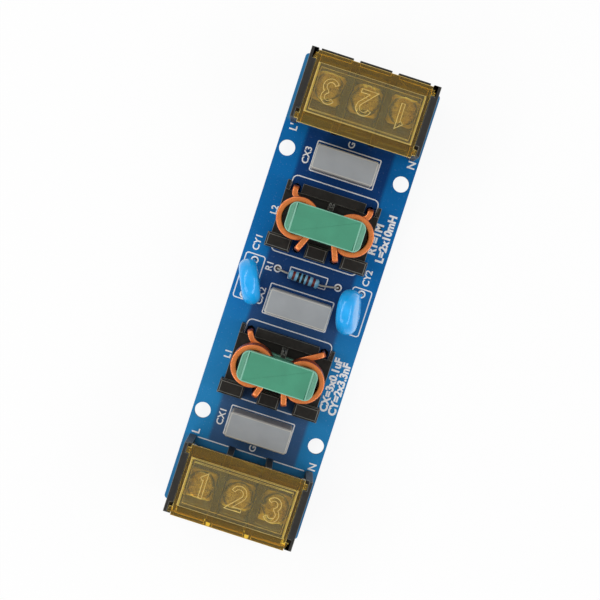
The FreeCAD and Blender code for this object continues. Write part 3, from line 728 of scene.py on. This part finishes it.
def text_slab(bm, words, x, y, size, low, high, weight):
    """Letters as thin closed slabs, centred on a point and reading along the board."""
    curve = bpy.data.curves.new("letters", "FONT")
    curve.body = words
    curve.size = size
    curve.align_x = "CENTER"
    curve.align_y = "CENTER"
    curve.offset = weight
    curve.resolution_u = 3
    holder = bpy.data.objects.new("letters", curve)
    bpy.context.scene.collection.objects.link(holder)
    depsgraph = bpy.context.evaluated_depsgraph_get()
    mesh = bpy.data.meshes.new_from_object(holder.evaluated_get(depsgraph))
    flat = bmesh.new()
    flat.from_mesh(mesh)
    bmesh.ops.remove_doubles(flat, verts=flat.verts, dist=0.0005)
    bmesh.ops.recalc_face_normals(flat, faces=flat.faces)
    if sum(face.normal.z for face in flat.faces) < 0:
        bmesh.ops.reverse_faces(flat, faces=flat.faces)
    raised = bmesh.ops.extrude_face_region(flat, geom=flat.faces[:])
    lifted = [item for item in raised["geom"] if isinstance(item, bmesh.types.BMVert)]
    bmesh.ops.translate(flat, verts=lifted, vec=UP * (high - low))
    flat.transform(Matrix.Translation((x, y, low)) @ Matrix.Rotation(math.radians(90), 4, "Z"))
    pour(flat, bm)
    bpy.data.objects.remove(holder)
    bpy.data.curves.remove(curve)
    bpy.data.meshes.remove(mesh)


def box_feet(y):
    return [(side * BOX_LEAD_PITCH / 2, y) for side in (-1, 1)]


def disc_feet(given):
    x, y = given["pad"]
    return [(x, y + side * DISC_LEAD_PITCH / 2) for side in (-1, 1)]


def lead_places():
    """Every lead and pin through the board, as (x, y, radius, kind)."""
    feet = {"terminal": [], "wire": [], "box": [], "disc": [], "resistor": RESISTOR_PADS}
    for x in (-POLE_PITCH, 0.0, POLE_PITCH):
        feet["terminal"] += [(x, -PIN_Y), (x, PIN_Y)]
    for choke, y in CHOKE_Y.items():
        front = front_lead_foot(choke)
        for side in (-1, 1):
            feet["wire"] += [(side * REAR_LEAD[0], y + REAR_LEAD[1]), (-side * front.x, y + front.y)]
    for y in BOX_CENTRES.values():
        feet["box"] += box_feet(y)
    for given in DISCS.values():
        feet["disc"] += disc_feet(given)
    return [(x, y, LEAD_RADII[kind], kind) for kind, places in feet.items() for x, y in places]


def heading(angle):
    return Vector((math.sin(angle), -math.cos(angle), 0))


def coil_centre(choke):
    return Vector((-LIMB_X - COIL_SHIFTS[choke], 0, 0))


def front_lead_foot(choke):
    last = math.radians(FRONT_DEPARTURES[choke])
    start = coil_centre(choke) + spoke(last) * COIL_MIDDLE
    return start + heading(last) * (FRONT_REACHES[choke] + WIRE_BEND)


class DressBoard(bpy.types.Operator):
    """Lacquers the board and adds its printed lines, letters, pads and solder."""

    bl_idname = "line_filter.board"
    bl_label = "Board"

    def execute(self, context):
        paint_node("circuit_board", board_paint())
        ink = ink_paint()
        low = BOARD_TOP
        high = BOARD_TOP + in_mm("print_height")
        self.print_lines(ink, low, high)
        self.print_letters(ink, low, high)
        self.add_pads()
        self.add_solder()
        return {"FINISHED"}

    def print_lines(self, ink, low, high):
        width = in_mm("line_width")
        bm = bmesh.new()
        boxes = (
            (-8.9, 9.4, 34.35, 42.85, 0.3),
            (-9.15, 9.15, -42.8, -34.4, 0.3),
            (-9.2, 9.1, -7.3, 1.3, 0.3),
            (-12.4, 12.4, 10.1, 32.0, 1.4),
            (-12.2, 12.4, -32.0, -9.85, 1.4),
            (-5.4, 5.4, 4.0, 7.25, 0.2),
            (-18.4, -12.9, -5.4, 7.55, 0.7),
            (12.87, 18.3, -5.75, 7.4, 0.7),
        )
        for box in boxes:
            strip(bm, rounded_outline(*box), width, low, high, closed=True)
        bar_y = -45.9
        for x0, x1 in ((-15.6, -6.6), (-4.4, 4.4), (6.6, 15.6)):
            strip(bm, [(x0, bar_y), (x1, bar_y)], width, low, high)
        ring_radius = 0.9
        ring_width = 0.42
        for x, y, radius, kind in lead_places():
            if kind in ("resistor", "disc"):
                circle = arc_points(x, y, ring_radius, 0, 345, 24)
                strip(bm, circle, ring_width, low, high, closed=True)
        add_piece("printed_lines", bm, (ink,), 30, "board", "board")

    def print_letters(self, ink, low, high):
        names = (
            ("L'", -16.5, 44.3, 3.0),
            ("N'", 17.85, 44.5, 3.0),
            ("G", 0.3, 44.4, 2.6),
            ("CX3", -10.7, 38.1, 2.6),
            ("L2", -14.6, 20.9, 2.6),
            ("CY1", -16.3, 10.95, 2.6),
            ("CY2", 15.85, 10.65, 2.6),
            ("R1", -11.1, 5.7, 2.6),
            ("CX2", -10.9, -3.0, 2.6),
            ("L1", -14.6, -21.1, 2.6),
            ("CX1", -11.0, -38.35, 2.6),
            ("L", -16.5, -44.4, 3.0),
            ("G", 0.0, -44.4, 2.6),
            ("N", 17.5, -44.2, 3.0),
        )
        values = (
            ("R1=1M", 14.7, 21.7, 3.0),
            ("L=2x10mH", 17.5, 22.6, 3.0),
            ("CX=3x0.1uF", 15.4, -20.7, 3.0),
            ("CY=2x3.3nF", 18.0, -21.2, 3.0),
        )
        bm = bmesh.new()
        for texts, weight in ((names, 0.06), (values, 0.13)):
            for words, x, y, size in texts:
                text_slab(bm, words, x, y, size, low, high, weight)
        add_piece("printed_letters", bm, (ink,), 30, "board", "board")

    def add_pads(self):
        tinned = metal_paint("tinned_pad", colours().tin, 0.3, rgb(150, 120, 80), 0.5)
        # Bare copper mostly stained near-black: partly the pad's own colour, partly painted shade of the
        # holes.
        bare = metal_paint("bare_pad_and_painted_hole_shade", rgb(96, 62, 40), 0.45, rgb(30, 24, 22), 0.8)
        under = bmesh.new()
        over = bmesh.new()
        for x, y, radius, kind in lead_places():
            hole = radius + 0.24
            reach = radius + 0.95
            flat_ring(under, x, y, -PAD_HEIGHT, PAD_HEIGHT, hole, reach)
            # On top, the resistor's leads get a ring of bare copper with painted hole shade.
            if kind == "resistor":
                flat_ring(over, x, y, BOARD_TOP, 0.02, radius + 0.16, 0.7)
        add_piece("tinned_pads", under, (tinned,), 30, "board", "solder")
        add_piece("bare_pads_and_painted_hole_shade", over, (bare,), 30, "board", "solder")

    def add_solder(self):
        bright = metal_paint("bright_solder", colours().tin, 0.16, rgb(120, 122, 124), 0.5)
        flux = moulding_paint("dried_flux", rgb(24, 20, 18), 0.1)
        depth = 1.1
        rise = 1.06
        for name in ("terminal", "component"):
            bm = bmesh.new()
            for x, y, radius, kind in lead_places():
                if (kind == "terminal") != (name == "terminal"):
                    continue
                foot = radius + 0.85
                tip = radius + 0.1
                profile = [(0, -depth)]
                for t in shares(8):
                    profile.append((tip + (foot - tip) * t**2.2, -depth + rise * t))
                profile.append((0, -PAD_HEIGHT))
                lathe(bm, profile, 22, Matrix.Translation((x, y, 0)))
            node = name + "_solder"
            fillets = add_piece(node + "_fillets", bm, (bright, flux), 50, "board", "solder", node)
            for face in fillets.data.polygons:
                if face.normal.z > 0.9:
                    face.material_index = 1


class DressTerminals(bpy.types.Operator):
    """Finishes the terminal housings, contacts, clamp plates and screws."""

    bl_idname = "line_filter.terminals"
    bl_label = "Terminals"

    def execute(self, context):
        black = moulding_paint("black_moulding", colours().moulding)
        # The second moulding is a painted highlight for the rounded edges.
        rubbed = moulding_paint("moulding_painted_edge_highlight", colours().moulding_edge_highlight)
        # Painted shade: the contacts' brass is darkened, with dark patches, for the shade under the covers.
        tinned = metal_paint("contact_brass_painted_shade", rgb(112, 104, 78), 0.4, rgb(80, 66, 44), 0.6)
        plate = metal_paint("plated_clamp", rgb(255, 238, 140), 0.3, rgb(240, 216, 116), 0.4, 0.8)
        steel = metal_paint("plated_screw", colours().plating, 0.2, rgb(90, 74, 42), 0.7, 0.95)
        metal_edge = in_mm("metal_edge")
        for end in ENDS:
            dressed(end + "_housing", "board", "black_moulding", (black, rubbed), in_mm("moulding_edge"))
            for pole in POLES:
                dressed("%s_contact_%d" % (end, pole), "board", "terminal_metal", (tinned,), metal_edge)
                clamp = "%s_clamp_%d" % (end, pole)
                dressed(clamp, clamp, "clamp_plate", (plate,), metal_edge * 1.4)
                self.add_screw(end, pole, steel)
        return {"FINISHED"}

    def add_screw(self, end, pole, steel):
        """A pan-head screw with a full slot, a shorter crossing slot and a rolled thread."""
        name = "%s_screw_%d" % (end, pole)
        chamfer = 0.15
        shoulder = 1.0
        crown = 0.12
        bm = bmesh.new()
        profile = [(0, SCREW_TIP), (SCREW_CORE - chamfer, SCREW_TIP), (SCREW_CORE, SCREW_TIP + 0.2)]
        profile += [(SCREW_CORE, HEAD_BOTTOM), (HEAD_RADIUS - chamfer, HEAD_BOTTOM)]
        profile += [(HEAD_RADIUS, HEAD_BOTTOM + chamfer)]
        for k in range(7):
            angle = math.pi / 2 * k / 6
            reach = HEAD_RADIUS - shoulder * (1 - math.cos(angle))
            profile.append((reach, HEAD_TOP - crown - shoulder * 0.75 * (1 - math.sin(angle))))
        profile += [(HEAD_RADIUS * 0.45, HEAD_TOP - 0.03), (0, HEAD_TOP)]
        lathe(bm, profile, 64)
        screw = link_object(name + "_threaded", finish_mesh(name, bm), (steel,))
        cutters = []
        slots = ((9.0, 1.1), (1.1, 5.2))
        for length_x, length_y in slots:
            cut = bmesh.new()
            size = Matrix.Diagonal((length_x, length_y, 2.6, 1))
            bmesh.ops.create_cube(cut, size=1.0, matrix=Matrix.Translation((0, 0, HEAD_TOP)) @ size)
            cutter = link_object("slot_cutter", finish_mesh("slot_cutter", cut), (steel,))
            add_modifier(screw, "BOOLEAN", operation="DIFFERENCE", solver="EXACT", object=cutter)
            cutters.append(cutter)
        limit = math.radians(50)
        add_modifier(screw, "BEVEL", width=0.1 * MM, segments=2, limit_method="ANGLE", angle_limit=limit)
        applied(screw)
        for cutter in cutters:
            bpy.data.objects.remove(cutter)
        thread = finish_mesh("thread", self.thread())
        joined = bmesh.new()
        joined.from_mesh(screw.data)
        joined.from_mesh(thread)
        centre = block_place(end, (pole - 2) * POLE_PITCH, SCREW_Y, 0) * MM
        joined.transform(Matrix.Translation(centre))
        joined.to_mesh(screw.data)
        joined.free()
        bpy.data.meshes.remove(thread)
        smooth(screw.data, SHARP_ANGLE)
        settle(screw, name, "screw_metal", name)

    def thread(self):
        """The rolled ridge up the shank, run out at both ends."""
        pitch = in_mm("thread_pitch")
        steps = 24
        low = SCREW_TIP + 0.3
        turns = int((HEAD_BOTTOM - 0.5 - low) / pitch)
        root = SCREW_CREST - 0.34
        rings = []
        for share in shares(turns * steps):
            outward = spoke(math.tau * turns * share)
            level = low + pitch * turns * share
            fade = min(1.0, share * turns * 2, (1 - share) * turns * 2)
            tip = root + (SCREW_CREST - root) * max(fade, 0.05)
            section = ((root, -0.42), (tip, -0.06), (tip, 0.06), (root, 0.42), (root - 0.1, 0))
            rings.append([outward * reach + UP * (level + pitch * rise) for reach, rise in section])
        bm = bmesh.new()
        sweep(bm, rings)
        return bm


class DressCovers(bpy.types.Operator):
    """Finishes the clear covers and adds their raised digits."""

    bl_idname = "line_filter.covers"
    bl_label = "Covers"

    def execute(self, context):
        shade = colours()
        amber = cover_paint("amber_cover", shade.cover, shade.crown, 0.04, 0.93)
        # Painted glow: a paler, less clear amber on the covers' ends stands in for light gathered there.
        painted_end_glow = cover_paint("amber_end_painted_glow", rgb(250, 206, 84), rgb(246, 212, 96), 0.2, 0.55)
        # A painted glint for the covers' rounded edges.
        rim = cover_paint("amber_painted_edge_glint", shade.cover_edge_glint, shade.cover_edge_glint, 0.3, 0.1)
        for end in ENDS:
            self.add_cover(end, (amber, rim, painted_end_glow))
        return {"FINISHED"}

    def add_cover(self, end, materials):
        """One cover in one skin with its digits, its crown cut where its ends with the painted glow begin.
        """
        node = end + "_cover"
        bm = softened_copy(node, 0)
        for side in (-1, 1):
            everything = bm.verts[:] + bm.edges[:] + bm.faces[:]
            place = (side * CROWN_END, 0, 0)
            bmesh.ops.bisect_plane(bm, geom=everything, plane_co=place, plane_no=(1, 0, 0))
        shell = link_object(node + "_shell", finish_mesh(node, bm), materials)
        top = max(vertex.co.z for vertex in shell.data.vertices) - CROWN_DEPTH * MM
        # The crown's ends and the end walls take the painted glow.
        for face in shell.data.polygons:
            on_crown = face.center.z > top and abs(face.center.x) > CROWN_END * MM
            if on_crown or abs(face.normal.x) > 0.7:
                face.material_index = 2
        digits = link_object("digits", finish_mesh("digits", self.digits(end)), materials)
        add_modifier(shell, "BOOLEAN", operation="UNION", solver="EXACT", use_self=True, object=digits)
        # The rounded edges take the painted glint.
        rounding = {"width": sizes().cover_edge, "segments": 2, "material": 1, "use_clamp_overlap": False}
        add_modifier(shell, "BEVEL", limit_method="ANGLE", angle_limit=math.radians(40), **rounding)
        applied(shell)
        bpy.data.objects.remove(digits)
        smooth(shell.data, SHARP_ANGLE)
        settle(shell, node, "amber_cover", node)

    def digits(self, end):
        """The raised numbers of the three poles, reaching a little down into the crown."""
        strokes = {
            1: [(-0.9, 2.05), (0.15, 2.95), (0.15, -2.95)],
            2: arc_points(0, 1.3, 1.65, 165, -35, 12) + [(-1.65, -2.95), (1.85, -2.95)],
            3: arc_points(0, 1.45, 1.45, 155, -60, 12) + arc_points(0, -1.35, 1.6, 60, -155, 14),
        }
        turn = Matrix.Rotation(math.pi if end == "output" else 0, 4, "Z")
        stroke_width = 0.95
        depth = 0.3
        numbers = bmesh.new()
        for pole in POLES:
            bm = bmesh.new()
            strip(bm, strokes[pole], stroke_width, -depth, in_mm("digit_height"))
            centre = block_place(end, (pole - 2) * DIGIT_PITCH, CROWN_MIDDLE[end], BLOCK_TOP)
            bm.transform(Matrix.Translation(centre) @ turn)
            pour(bm, numbers)
        return numbers


class DressChokes(bpy.types.Operator):
    """Finishes both chokes: bases, coated cores, sleeves and flat-wire windings."""

    bl_idname = "line_filter.chokes"
    bl_label = "Chokes"

    def execute(self, context):
        black = moulding_paint("choke_moulding", rgb(30, 28, 24), 0.25)
        # The same moulding with a painted highlight, for the bases' rounded edges.
        rubbed = bpy.data.materials["moulding_painted_edge_highlight"]
        green = core_paint("green_coating", colours().core, 0.25)
        # Paler green with many pale specks for the rounded edges: a painted highlight.
        pale = core_paint("green_coating_painted_edge_highlight", colours().core_edge_highlight, 0.8)
        copper = copper_paint()
        for choke in CHOKE_Y:
            dressed(choke + "_base", "board", "black_moulding", (black, rubbed), in_mm("moulding_edge"))
            # The cores' folds count as edges too, so they take the painted highlight.
            dressed(choke + "_core", "board", "green_ferrite", (green, pale), in_mm("core_edge"), 3, 20.0)
            for hand, side in HANDS:
                paint_node("%s_sleeve_%s" % (choke, hand), black)
                self.add_winding(choke, hand, side, copper)
        return {"FINISHED"}

    def add_winding(self, choke, hand, side, copper):
        """One coil of flat wire on edge, in one length from its rear tail to its front tail."""
        node = "%s_winding_%s" % (choke, hand)
        half_width = in_mm("wire_width") / 2
        half_thickness = in_mm("wire_thickness") / 2
        corner = half_thickness * 0.85
        outline = rounded_outline(-half_width, half_width, -half_thickness, half_thickness, corner, 3)
        rings = []
        for place, across, through in self.winding_sections(choke, hand):
            rings.append([place + across * a + through * b for a, b in outline])
        bm = bmesh.new()
        sweep(bm, rings)
        mirror = Matrix.Diagonal((side * -1, 1, 1, 1))
        bm.transform(Matrix.Translation((0, CHOKE_Y[choke], BOARD_TOP)) @ mirror)
        add_piece(node + "_wire", bm, (copper,), 40, "board", "copper_wire", node)

    def winding_sections(self, choke, hand):
        """The wire's way as (place, across, through): foot, bend, lead-in, turns, reach, bend, foot."""
        centre = coil_centre(choke)
        first = math.radians(REAR_DEPARTURES.get((choke, hand), 85.0))
        last = math.radians(FRONT_DEPARTURES[choke])
        thickness = in_mm("wire_thickness")
        pitch = in_mm("turn_pitch")
        low = COIL_LOW + thickness / 2
        high = COIL_HIGH - thickness / 2
        part_turn = (first - last) / math.tau
        turns = math.floor((high - low) / pitch - part_turn) + part_turn
        tail = UP * (TAIL - BOARD_TOP)
        inward = spoke(math.radians(REAR_HEADINGS.get((choke, hand), -90.0)))
        across = UP.cross(inward)
        foot = Vector((-REAR_LEAD[0], REAR_LEAD[1], 0))
        sections = [(foot + tail, across, -inward)]
        bends = [math.pi / 2 * k / BEND_STEPS for k in range(BEND_STEPS + 1)]
        for bend in bends:
            drop = WIRE_BEND * (1 - math.sin(bend))
            place = foot + inward * (WIRE_BEND * (1 - math.cos(bend))) + UP * (low - drop)
            sections.append((place, across, inward * -math.cos(bend) + UP * math.sin(bend)))
        start = sections[-1][0]
        end = centre + spoke(first) * COIL_MIDDLE + UP * low
        pull = (end - start).length / 2.2
        handles = (start, start + inward * pull, end - heading(first) * pull, end)
        for t in shares(CURVE_STEPS)[1:-1]:
            weights = ((1 - t) ** 3, 3 * t * (1 - t) ** 2, 3 * t * t * (1 - t), t**3)
            slopes = (-((1 - t) ** 2), (1 - t) * (1 - 3 * t), t * (2 - 3 * t), t * t)
            place = sum((handle * weight for weight, handle in zip(weights, handles)), Vector())
            run = sum((handle * slope for slope, handle in zip(slopes, handles)), Vector())
            sections.append((place, UP.cross(run.normalized()), UP))
        for share in shares(round(turns * sizes().turn_steps)):
            radial = spoke(first - math.tau * turns * share)
            rise = UP * (low + pitch * turns * share)
            sections.append((centre + radial * COIL_MIDDLE + rise, radial, UP))
        away = heading(last)
        across = UP.cross(away)
        reach = sections[-1][0] + away * FRONT_REACHES[choke]
        for bend in bends:
            place = reach + away * (WIRE_BEND * math.sin(bend)) - UP * (WIRE_BEND * (1 - math.cos(bend)))
            sections.append((place, across, away * math.sin(bend) + UP * math.cos(bend)))
        foot = reach + away * WIRE_BEND
        foot.z = 0
        sections.append((foot + tail, across, away))
        return sections


class DressCapacitors(bpy.types.Operator):
    """Finishes the grey box capacitors and the blue dipped discs with their leads."""

    bl_idname = "line_filter.capacitors"
    bl_label = "Capacitors"

    def execute(self, context):
        grey = case_paint("grey_case", colours().case)
        # The second case finish is a painted highlight for the rounded edges.
        rim = case_paint("grey_case_painted_edge_highlight", colours().case_edge_highlight)
        blue = disc_paint()
        tinned = metal_paint("tinned_lead", colours().tin, 0.25, rgb(140, 138, 130), 0.4)
        for name, y in BOX_CENTRES.items():
            dressed(name + "_case", "board", "grey_case", (grey, rim), in_mm("case_edge"), 3)
            self.add_leads(name, box_feet(y), 0.7, LEAD_RADII["box"], tinned)
        for name, given in DISCS.items():
            self.add_disc(name, given, blue)
            self.add_leads(name, disc_feet(given), 1.3, LEAD_RADII["disc"], tinned)
        return {"FINISHED"}

    def add_leads(self, name, feet, height, radius, tinned):
        bm = bmesh.new()
        for x, y in feet:
            wire(bm, [(x, y, BOARD_TOP + height), (x, y, TAIL)], radius)
        add_piece(name + "_wires", bm, (tinned,), 40, "board", "lead_wire", name + "_leads")

    def add_disc(self, name, given, blue):
        """A dipped disc on edge, its coating drawn down both leads in one skin."""
        drip_y = 3.4
        drip_z = -4.2
        drip_end = 0.55
        drip_swell = 0.95
        turn = Matrix.Rotation(math.radians(given["turn"]), 4, "Z")
        lean = Matrix.Rotation(math.radians(given["lean"]), 4, "Y")
        x, y = given["centre"]
        stand = Matrix.Translation((x, y, BOARD_TOP + DISC_HEIGHT)) @ turn @ lean
        facing = stand @ Matrix.Rotation(math.pi / 2, 4, "Y")
        radius = in_mm("disc_radius")
        half = in_mm("disc_thickness") / 2
        rim = 2.0
        dome = 0.25
        upper = [(0, half), ((radius - rim) * 0.6, half - dome * 0.36)]
        for k in range(9):
            angle = math.pi / 2 * k / 8
            drop = dome + (half - dome) * (1 - math.cos(angle))
            upper.append((radius - rim * (1 - math.sin(angle)), half - drop))
        profile = upper + [(reach, -level) for reach, level in reversed(upper[:-1])]
        bm = bmesh.new()
        lathe(bm, profile, 48, facing)
        for side, (x, y) in zip((-1, 1), disc_feet(given)):
            foot = Vector((x, y, BOARD_TOP + 1.1))
            root = stand @ Vector((0, side * drip_y, drip_z))
            run = (foot - root).normalized()
            across = run.orthogonal().normalized()
            rings = []
            for t in shares(8):
                reach = drip_end + drip_swell * (1 - t) ** 1.8
                rings.append(around(root.lerp(foot, t), across, run.cross(across), reach, 16))
            sweep(bm, rings)
        disc = link_object(name + "_coating", finish_mesh(name, bm), (blue,))
        add_modifier(disc, "REMESH", mode="VOXEL", voxel_size=0.24 * MM)
        add_modifier(disc, "SMOOTH", factor=0.5, iterations=8)
        applied(disc)
        disc.data.shade_smooth()
        settle(disc, "board", "blue_coating", name + "_disc")


class DressResistor(bpy.types.Operator):
    """Finishes the bleed resistor with its colour bands and bent leads."""

    bl_idname = "line_filter.resistor"
    bl_label = "Resistor"

    def execute(self, context):
        height = BOARD_TOP + RESISTOR_AXIS
        start, end = [Vector((x, y, height)) for x, y in RESISTOR_ENDS]
        brown = rgb(112, 34, 34)
        black = rgb(22, 20, 26)
        bands = ((1.55, 0.42, brown), (3.1, 0.42, black), (4.35, 0.42, black))
        bands += ((5.7, 0.4, rgb(70, 26, 40)), (7.4, 0.45, brown))
        paint = band_paint(start, end, bands)
        bm = bmesh.new()
        turn = (end - start).to_track_quat("Z", "Y").to_matrix().to_4x4()
        lathe(bm, self.profile((end - start).length), 36, Matrix.Translation(start) @ turn)
        add_piece("resistor_lacquered_body", bm, (paint,), 50, "board", "resistor_paint", "resistor_body")
        axis = (end - start).normalized()
        bm = bmesh.new()
        for (x, y), body_end, outward in zip(RESISTOR_PADS, (start, end), (-axis, axis)):
            way = [body_end - outward * 0.4, body_end + outward * 0.9, (x, y, height), (x, y, TAIL)]
            wire(bm, way, LEAD_RADII["resistor"], 0.7)
        tinned = bpy.data.materials["tinned_lead"]
        add_piece("resistor_wires", bm, (tinned,), 40, "board", "lead_wire", "resistor_leads")
        return {"FINISHED"}

    def profile(self, length):
        """A body with rounded caps at its ends and a slight neck inside each of them."""
        steps = 40
        radius = 1.4
        cap = 0.75
        neck_depth = 0.25
        neck_middle = 2.0
        lead_hole = 0.34
        points = [(0, 0.0)]
        for k in range(steps + 1):
            along = length * k / steps
            near = min(along, length - along)
            reach = radius * math.sqrt(max(0.0, 1 - max(0.0, 1 - near / cap) ** 2.4))
            neck = neck_depth * (1 - 1 / (1 + math.exp((near - neck_middle) * -4.0)))
            past = min(1.0, max(0.0, near - cap) / 0.6)
            points.append((max(reach - neck * past, lead_hole), along))
        return points + [(0, length)]


class SetStage(bpy.types.Operator):
    """Lays the pale floor and sets the lamps and the camera over the board."""

    bl_idname = "line_filter.stage"
    bl_label = "Stage"

    def execute(self, context):
        self.add_floor()
        self.add_lamps()
        self.add_camera()
        context.scene.view_settings.view_transform = "Standard"
        return {"FINISHED"}

    def add_floor(self):
        gap = 0.05 * MM
        level = cad_box[0].z - gap
        bm = bmesh.new()
        bmesh.ops.create_grid(bm, x_segments=1, y_segments=1, size=3.0)
        bm.transform(Matrix.Translation((0, 0, level)))
        mesh = bpy.data.meshes.new("floor")
        bm.to_mesh(mesh)
        bm.free()
        paint = Paint("studio_floor", Roughness=0.9)
        rays = paint.add("ShaderNodeLightPath")
        node = rays.socket.node
        seen = Link(paint, node.outputs["Is Camera Ray"])
        for name in ("Is Glossy Ray", "Is Transmission Ray"):
            seen = seen.maximum(Link(paint, node.outputs[name]))
        mottle = paint.noise(0.02, 2.0, 0.5)
        tone = paint.mix(mottle, colours().floor, (0.88, 0.88, 0.88, 1.0))
        paint.feed("Base Color", tone)
        white = paint.add("ShaderNodeEmission", None, {"Color": (1, 1, 1, 1), "Strength": 1.0})
        lit = Link(paint, paint.shader.outputs[0])
        both = paint.add("ShaderNodeMixShader", None, {0: seen * 0.9, 1: lit, 2: white})
        output = paint.tree.nodes["Material Output"]
        paint.tree.links.new(both.socket, output.inputs["Surface"])
        floor = link_object("studio_floor", mesh, (paint.material,))

    def add_lamps(self):
        lamps = (
            ("key_strip", (-0.5, 0.1, 0.5), 2.4, (1.3, 0.16), (1.0, 0.99, 0.97)),
            ("side_strip", (0.6, -0.1, 0.45), 2.7, (1.3, 0.16), (0.97, 0.98, 1.0)),
            ("fill_softbox", (-0.35, -0.6, 0.4), 1.2, (0.4, 0.4), (1.0, 1.0, 1.0)),
        )
        for name, place, power, (length, height), colour in lamps:
            light = bpy.data.lights.new(name, "AREA")
            light.energy = power
            light.shape = "RECTANGLE"
            light.size = length
            light.size_y = height
            light.color = colour
            lamp = bpy.data.objects.new(name, light)
            lamp.location = place
            lamp.rotation_euler = (-Vector(place)).to_track_quat("-Z", "Y").to_euler()
            bpy.context.scene.collection.objects.link(lamp)
        world = bpy.data.worlds.new("studio")
        world.use_nodes = True
        background = world.node_tree.nodes["Background"]
        background.inputs["Color"].default_value = (1.0, 1.0, 1.0, 1.0)
        background.inputs["Strength"].default_value = 0.52
        bpy.context.scene.world = world

    def add_camera(self):
        turn = math.radians(17.9)
        eye = Vector((-4.8, 15.2, BOARD_TOP + 440.0))
        target = Vector((-0.2, -0.8, BOARD_TOP))
        forward = (target - eye).normalized()
        image_up = Vector((-math.sin(turn), math.cos(turn), 0))
        right = forward.cross(image_up).normalized()
        above = right.cross(forward)
        matrix = Matrix((right, above, -forward)).transposed().to_4x4()
        matrix.translation = eye * MM
        data = bpy.data.cameras.new("camera")
        data.lens = 95.0
        data.sensor_width = 36.0
        data.clip_start = 0.01
        data.clip_end = 20.0
        camera = bpy.data.objects.new("camera", data)
        camera.matrix_world = matrix
        bpy.context.scene.collection.objects.link(camera)
        bpy.context.scene.camera = camera


class LineFilterPanel(bpy.types.Panel):
    """Lists the steps that dress the board."""

    bl_idname = "VIEW3D_PT_line_filter"
    bl_label = "Line Filter"
    bl_space_type = "VIEW_3D"
    bl_region_type = "UI"
    bl_category = "Line Filter"

    def draw(self, context):
        for step in STEPS:
            self.layout.operator(step.bl_idname)
        for group in (context.scene.filter_sizes, context.scene.filter_colours):
            for key in group.__annotations__:
                self.layout.prop(group, key)


STEPS = (DressBoard, DressTerminals, DressCovers, DressChokes, DressCapacitors, DressResistor, SetStage)
CLASSES = (FilterSizes, FilterColours) + STEPS + (LineFilterPanel,)


def register():
    for cls in CLASSES:
        bpy.utils.register_class(cls)
    bpy.types.Scene.filter_sizes = PointerProperty(type=FilterSizes)
    bpy.types.Scene.filter_colours = PointerProperty(type=FilterColours)


def unregister():
    del bpy.types.Scene.filter_colours
    del bpy.types.Scene.filter_sizes
    for cls in reversed(CLASSES):
        bpy.utils.unregister_class(cls)


def main():
    register()
    for step in STEPS:
        group, name = step.bl_idname.split(".")
        getattr(getattr(bpy.ops, group), name)()
    bpy.context.view_layer.update()


if __name__ == "__main__":
    main()
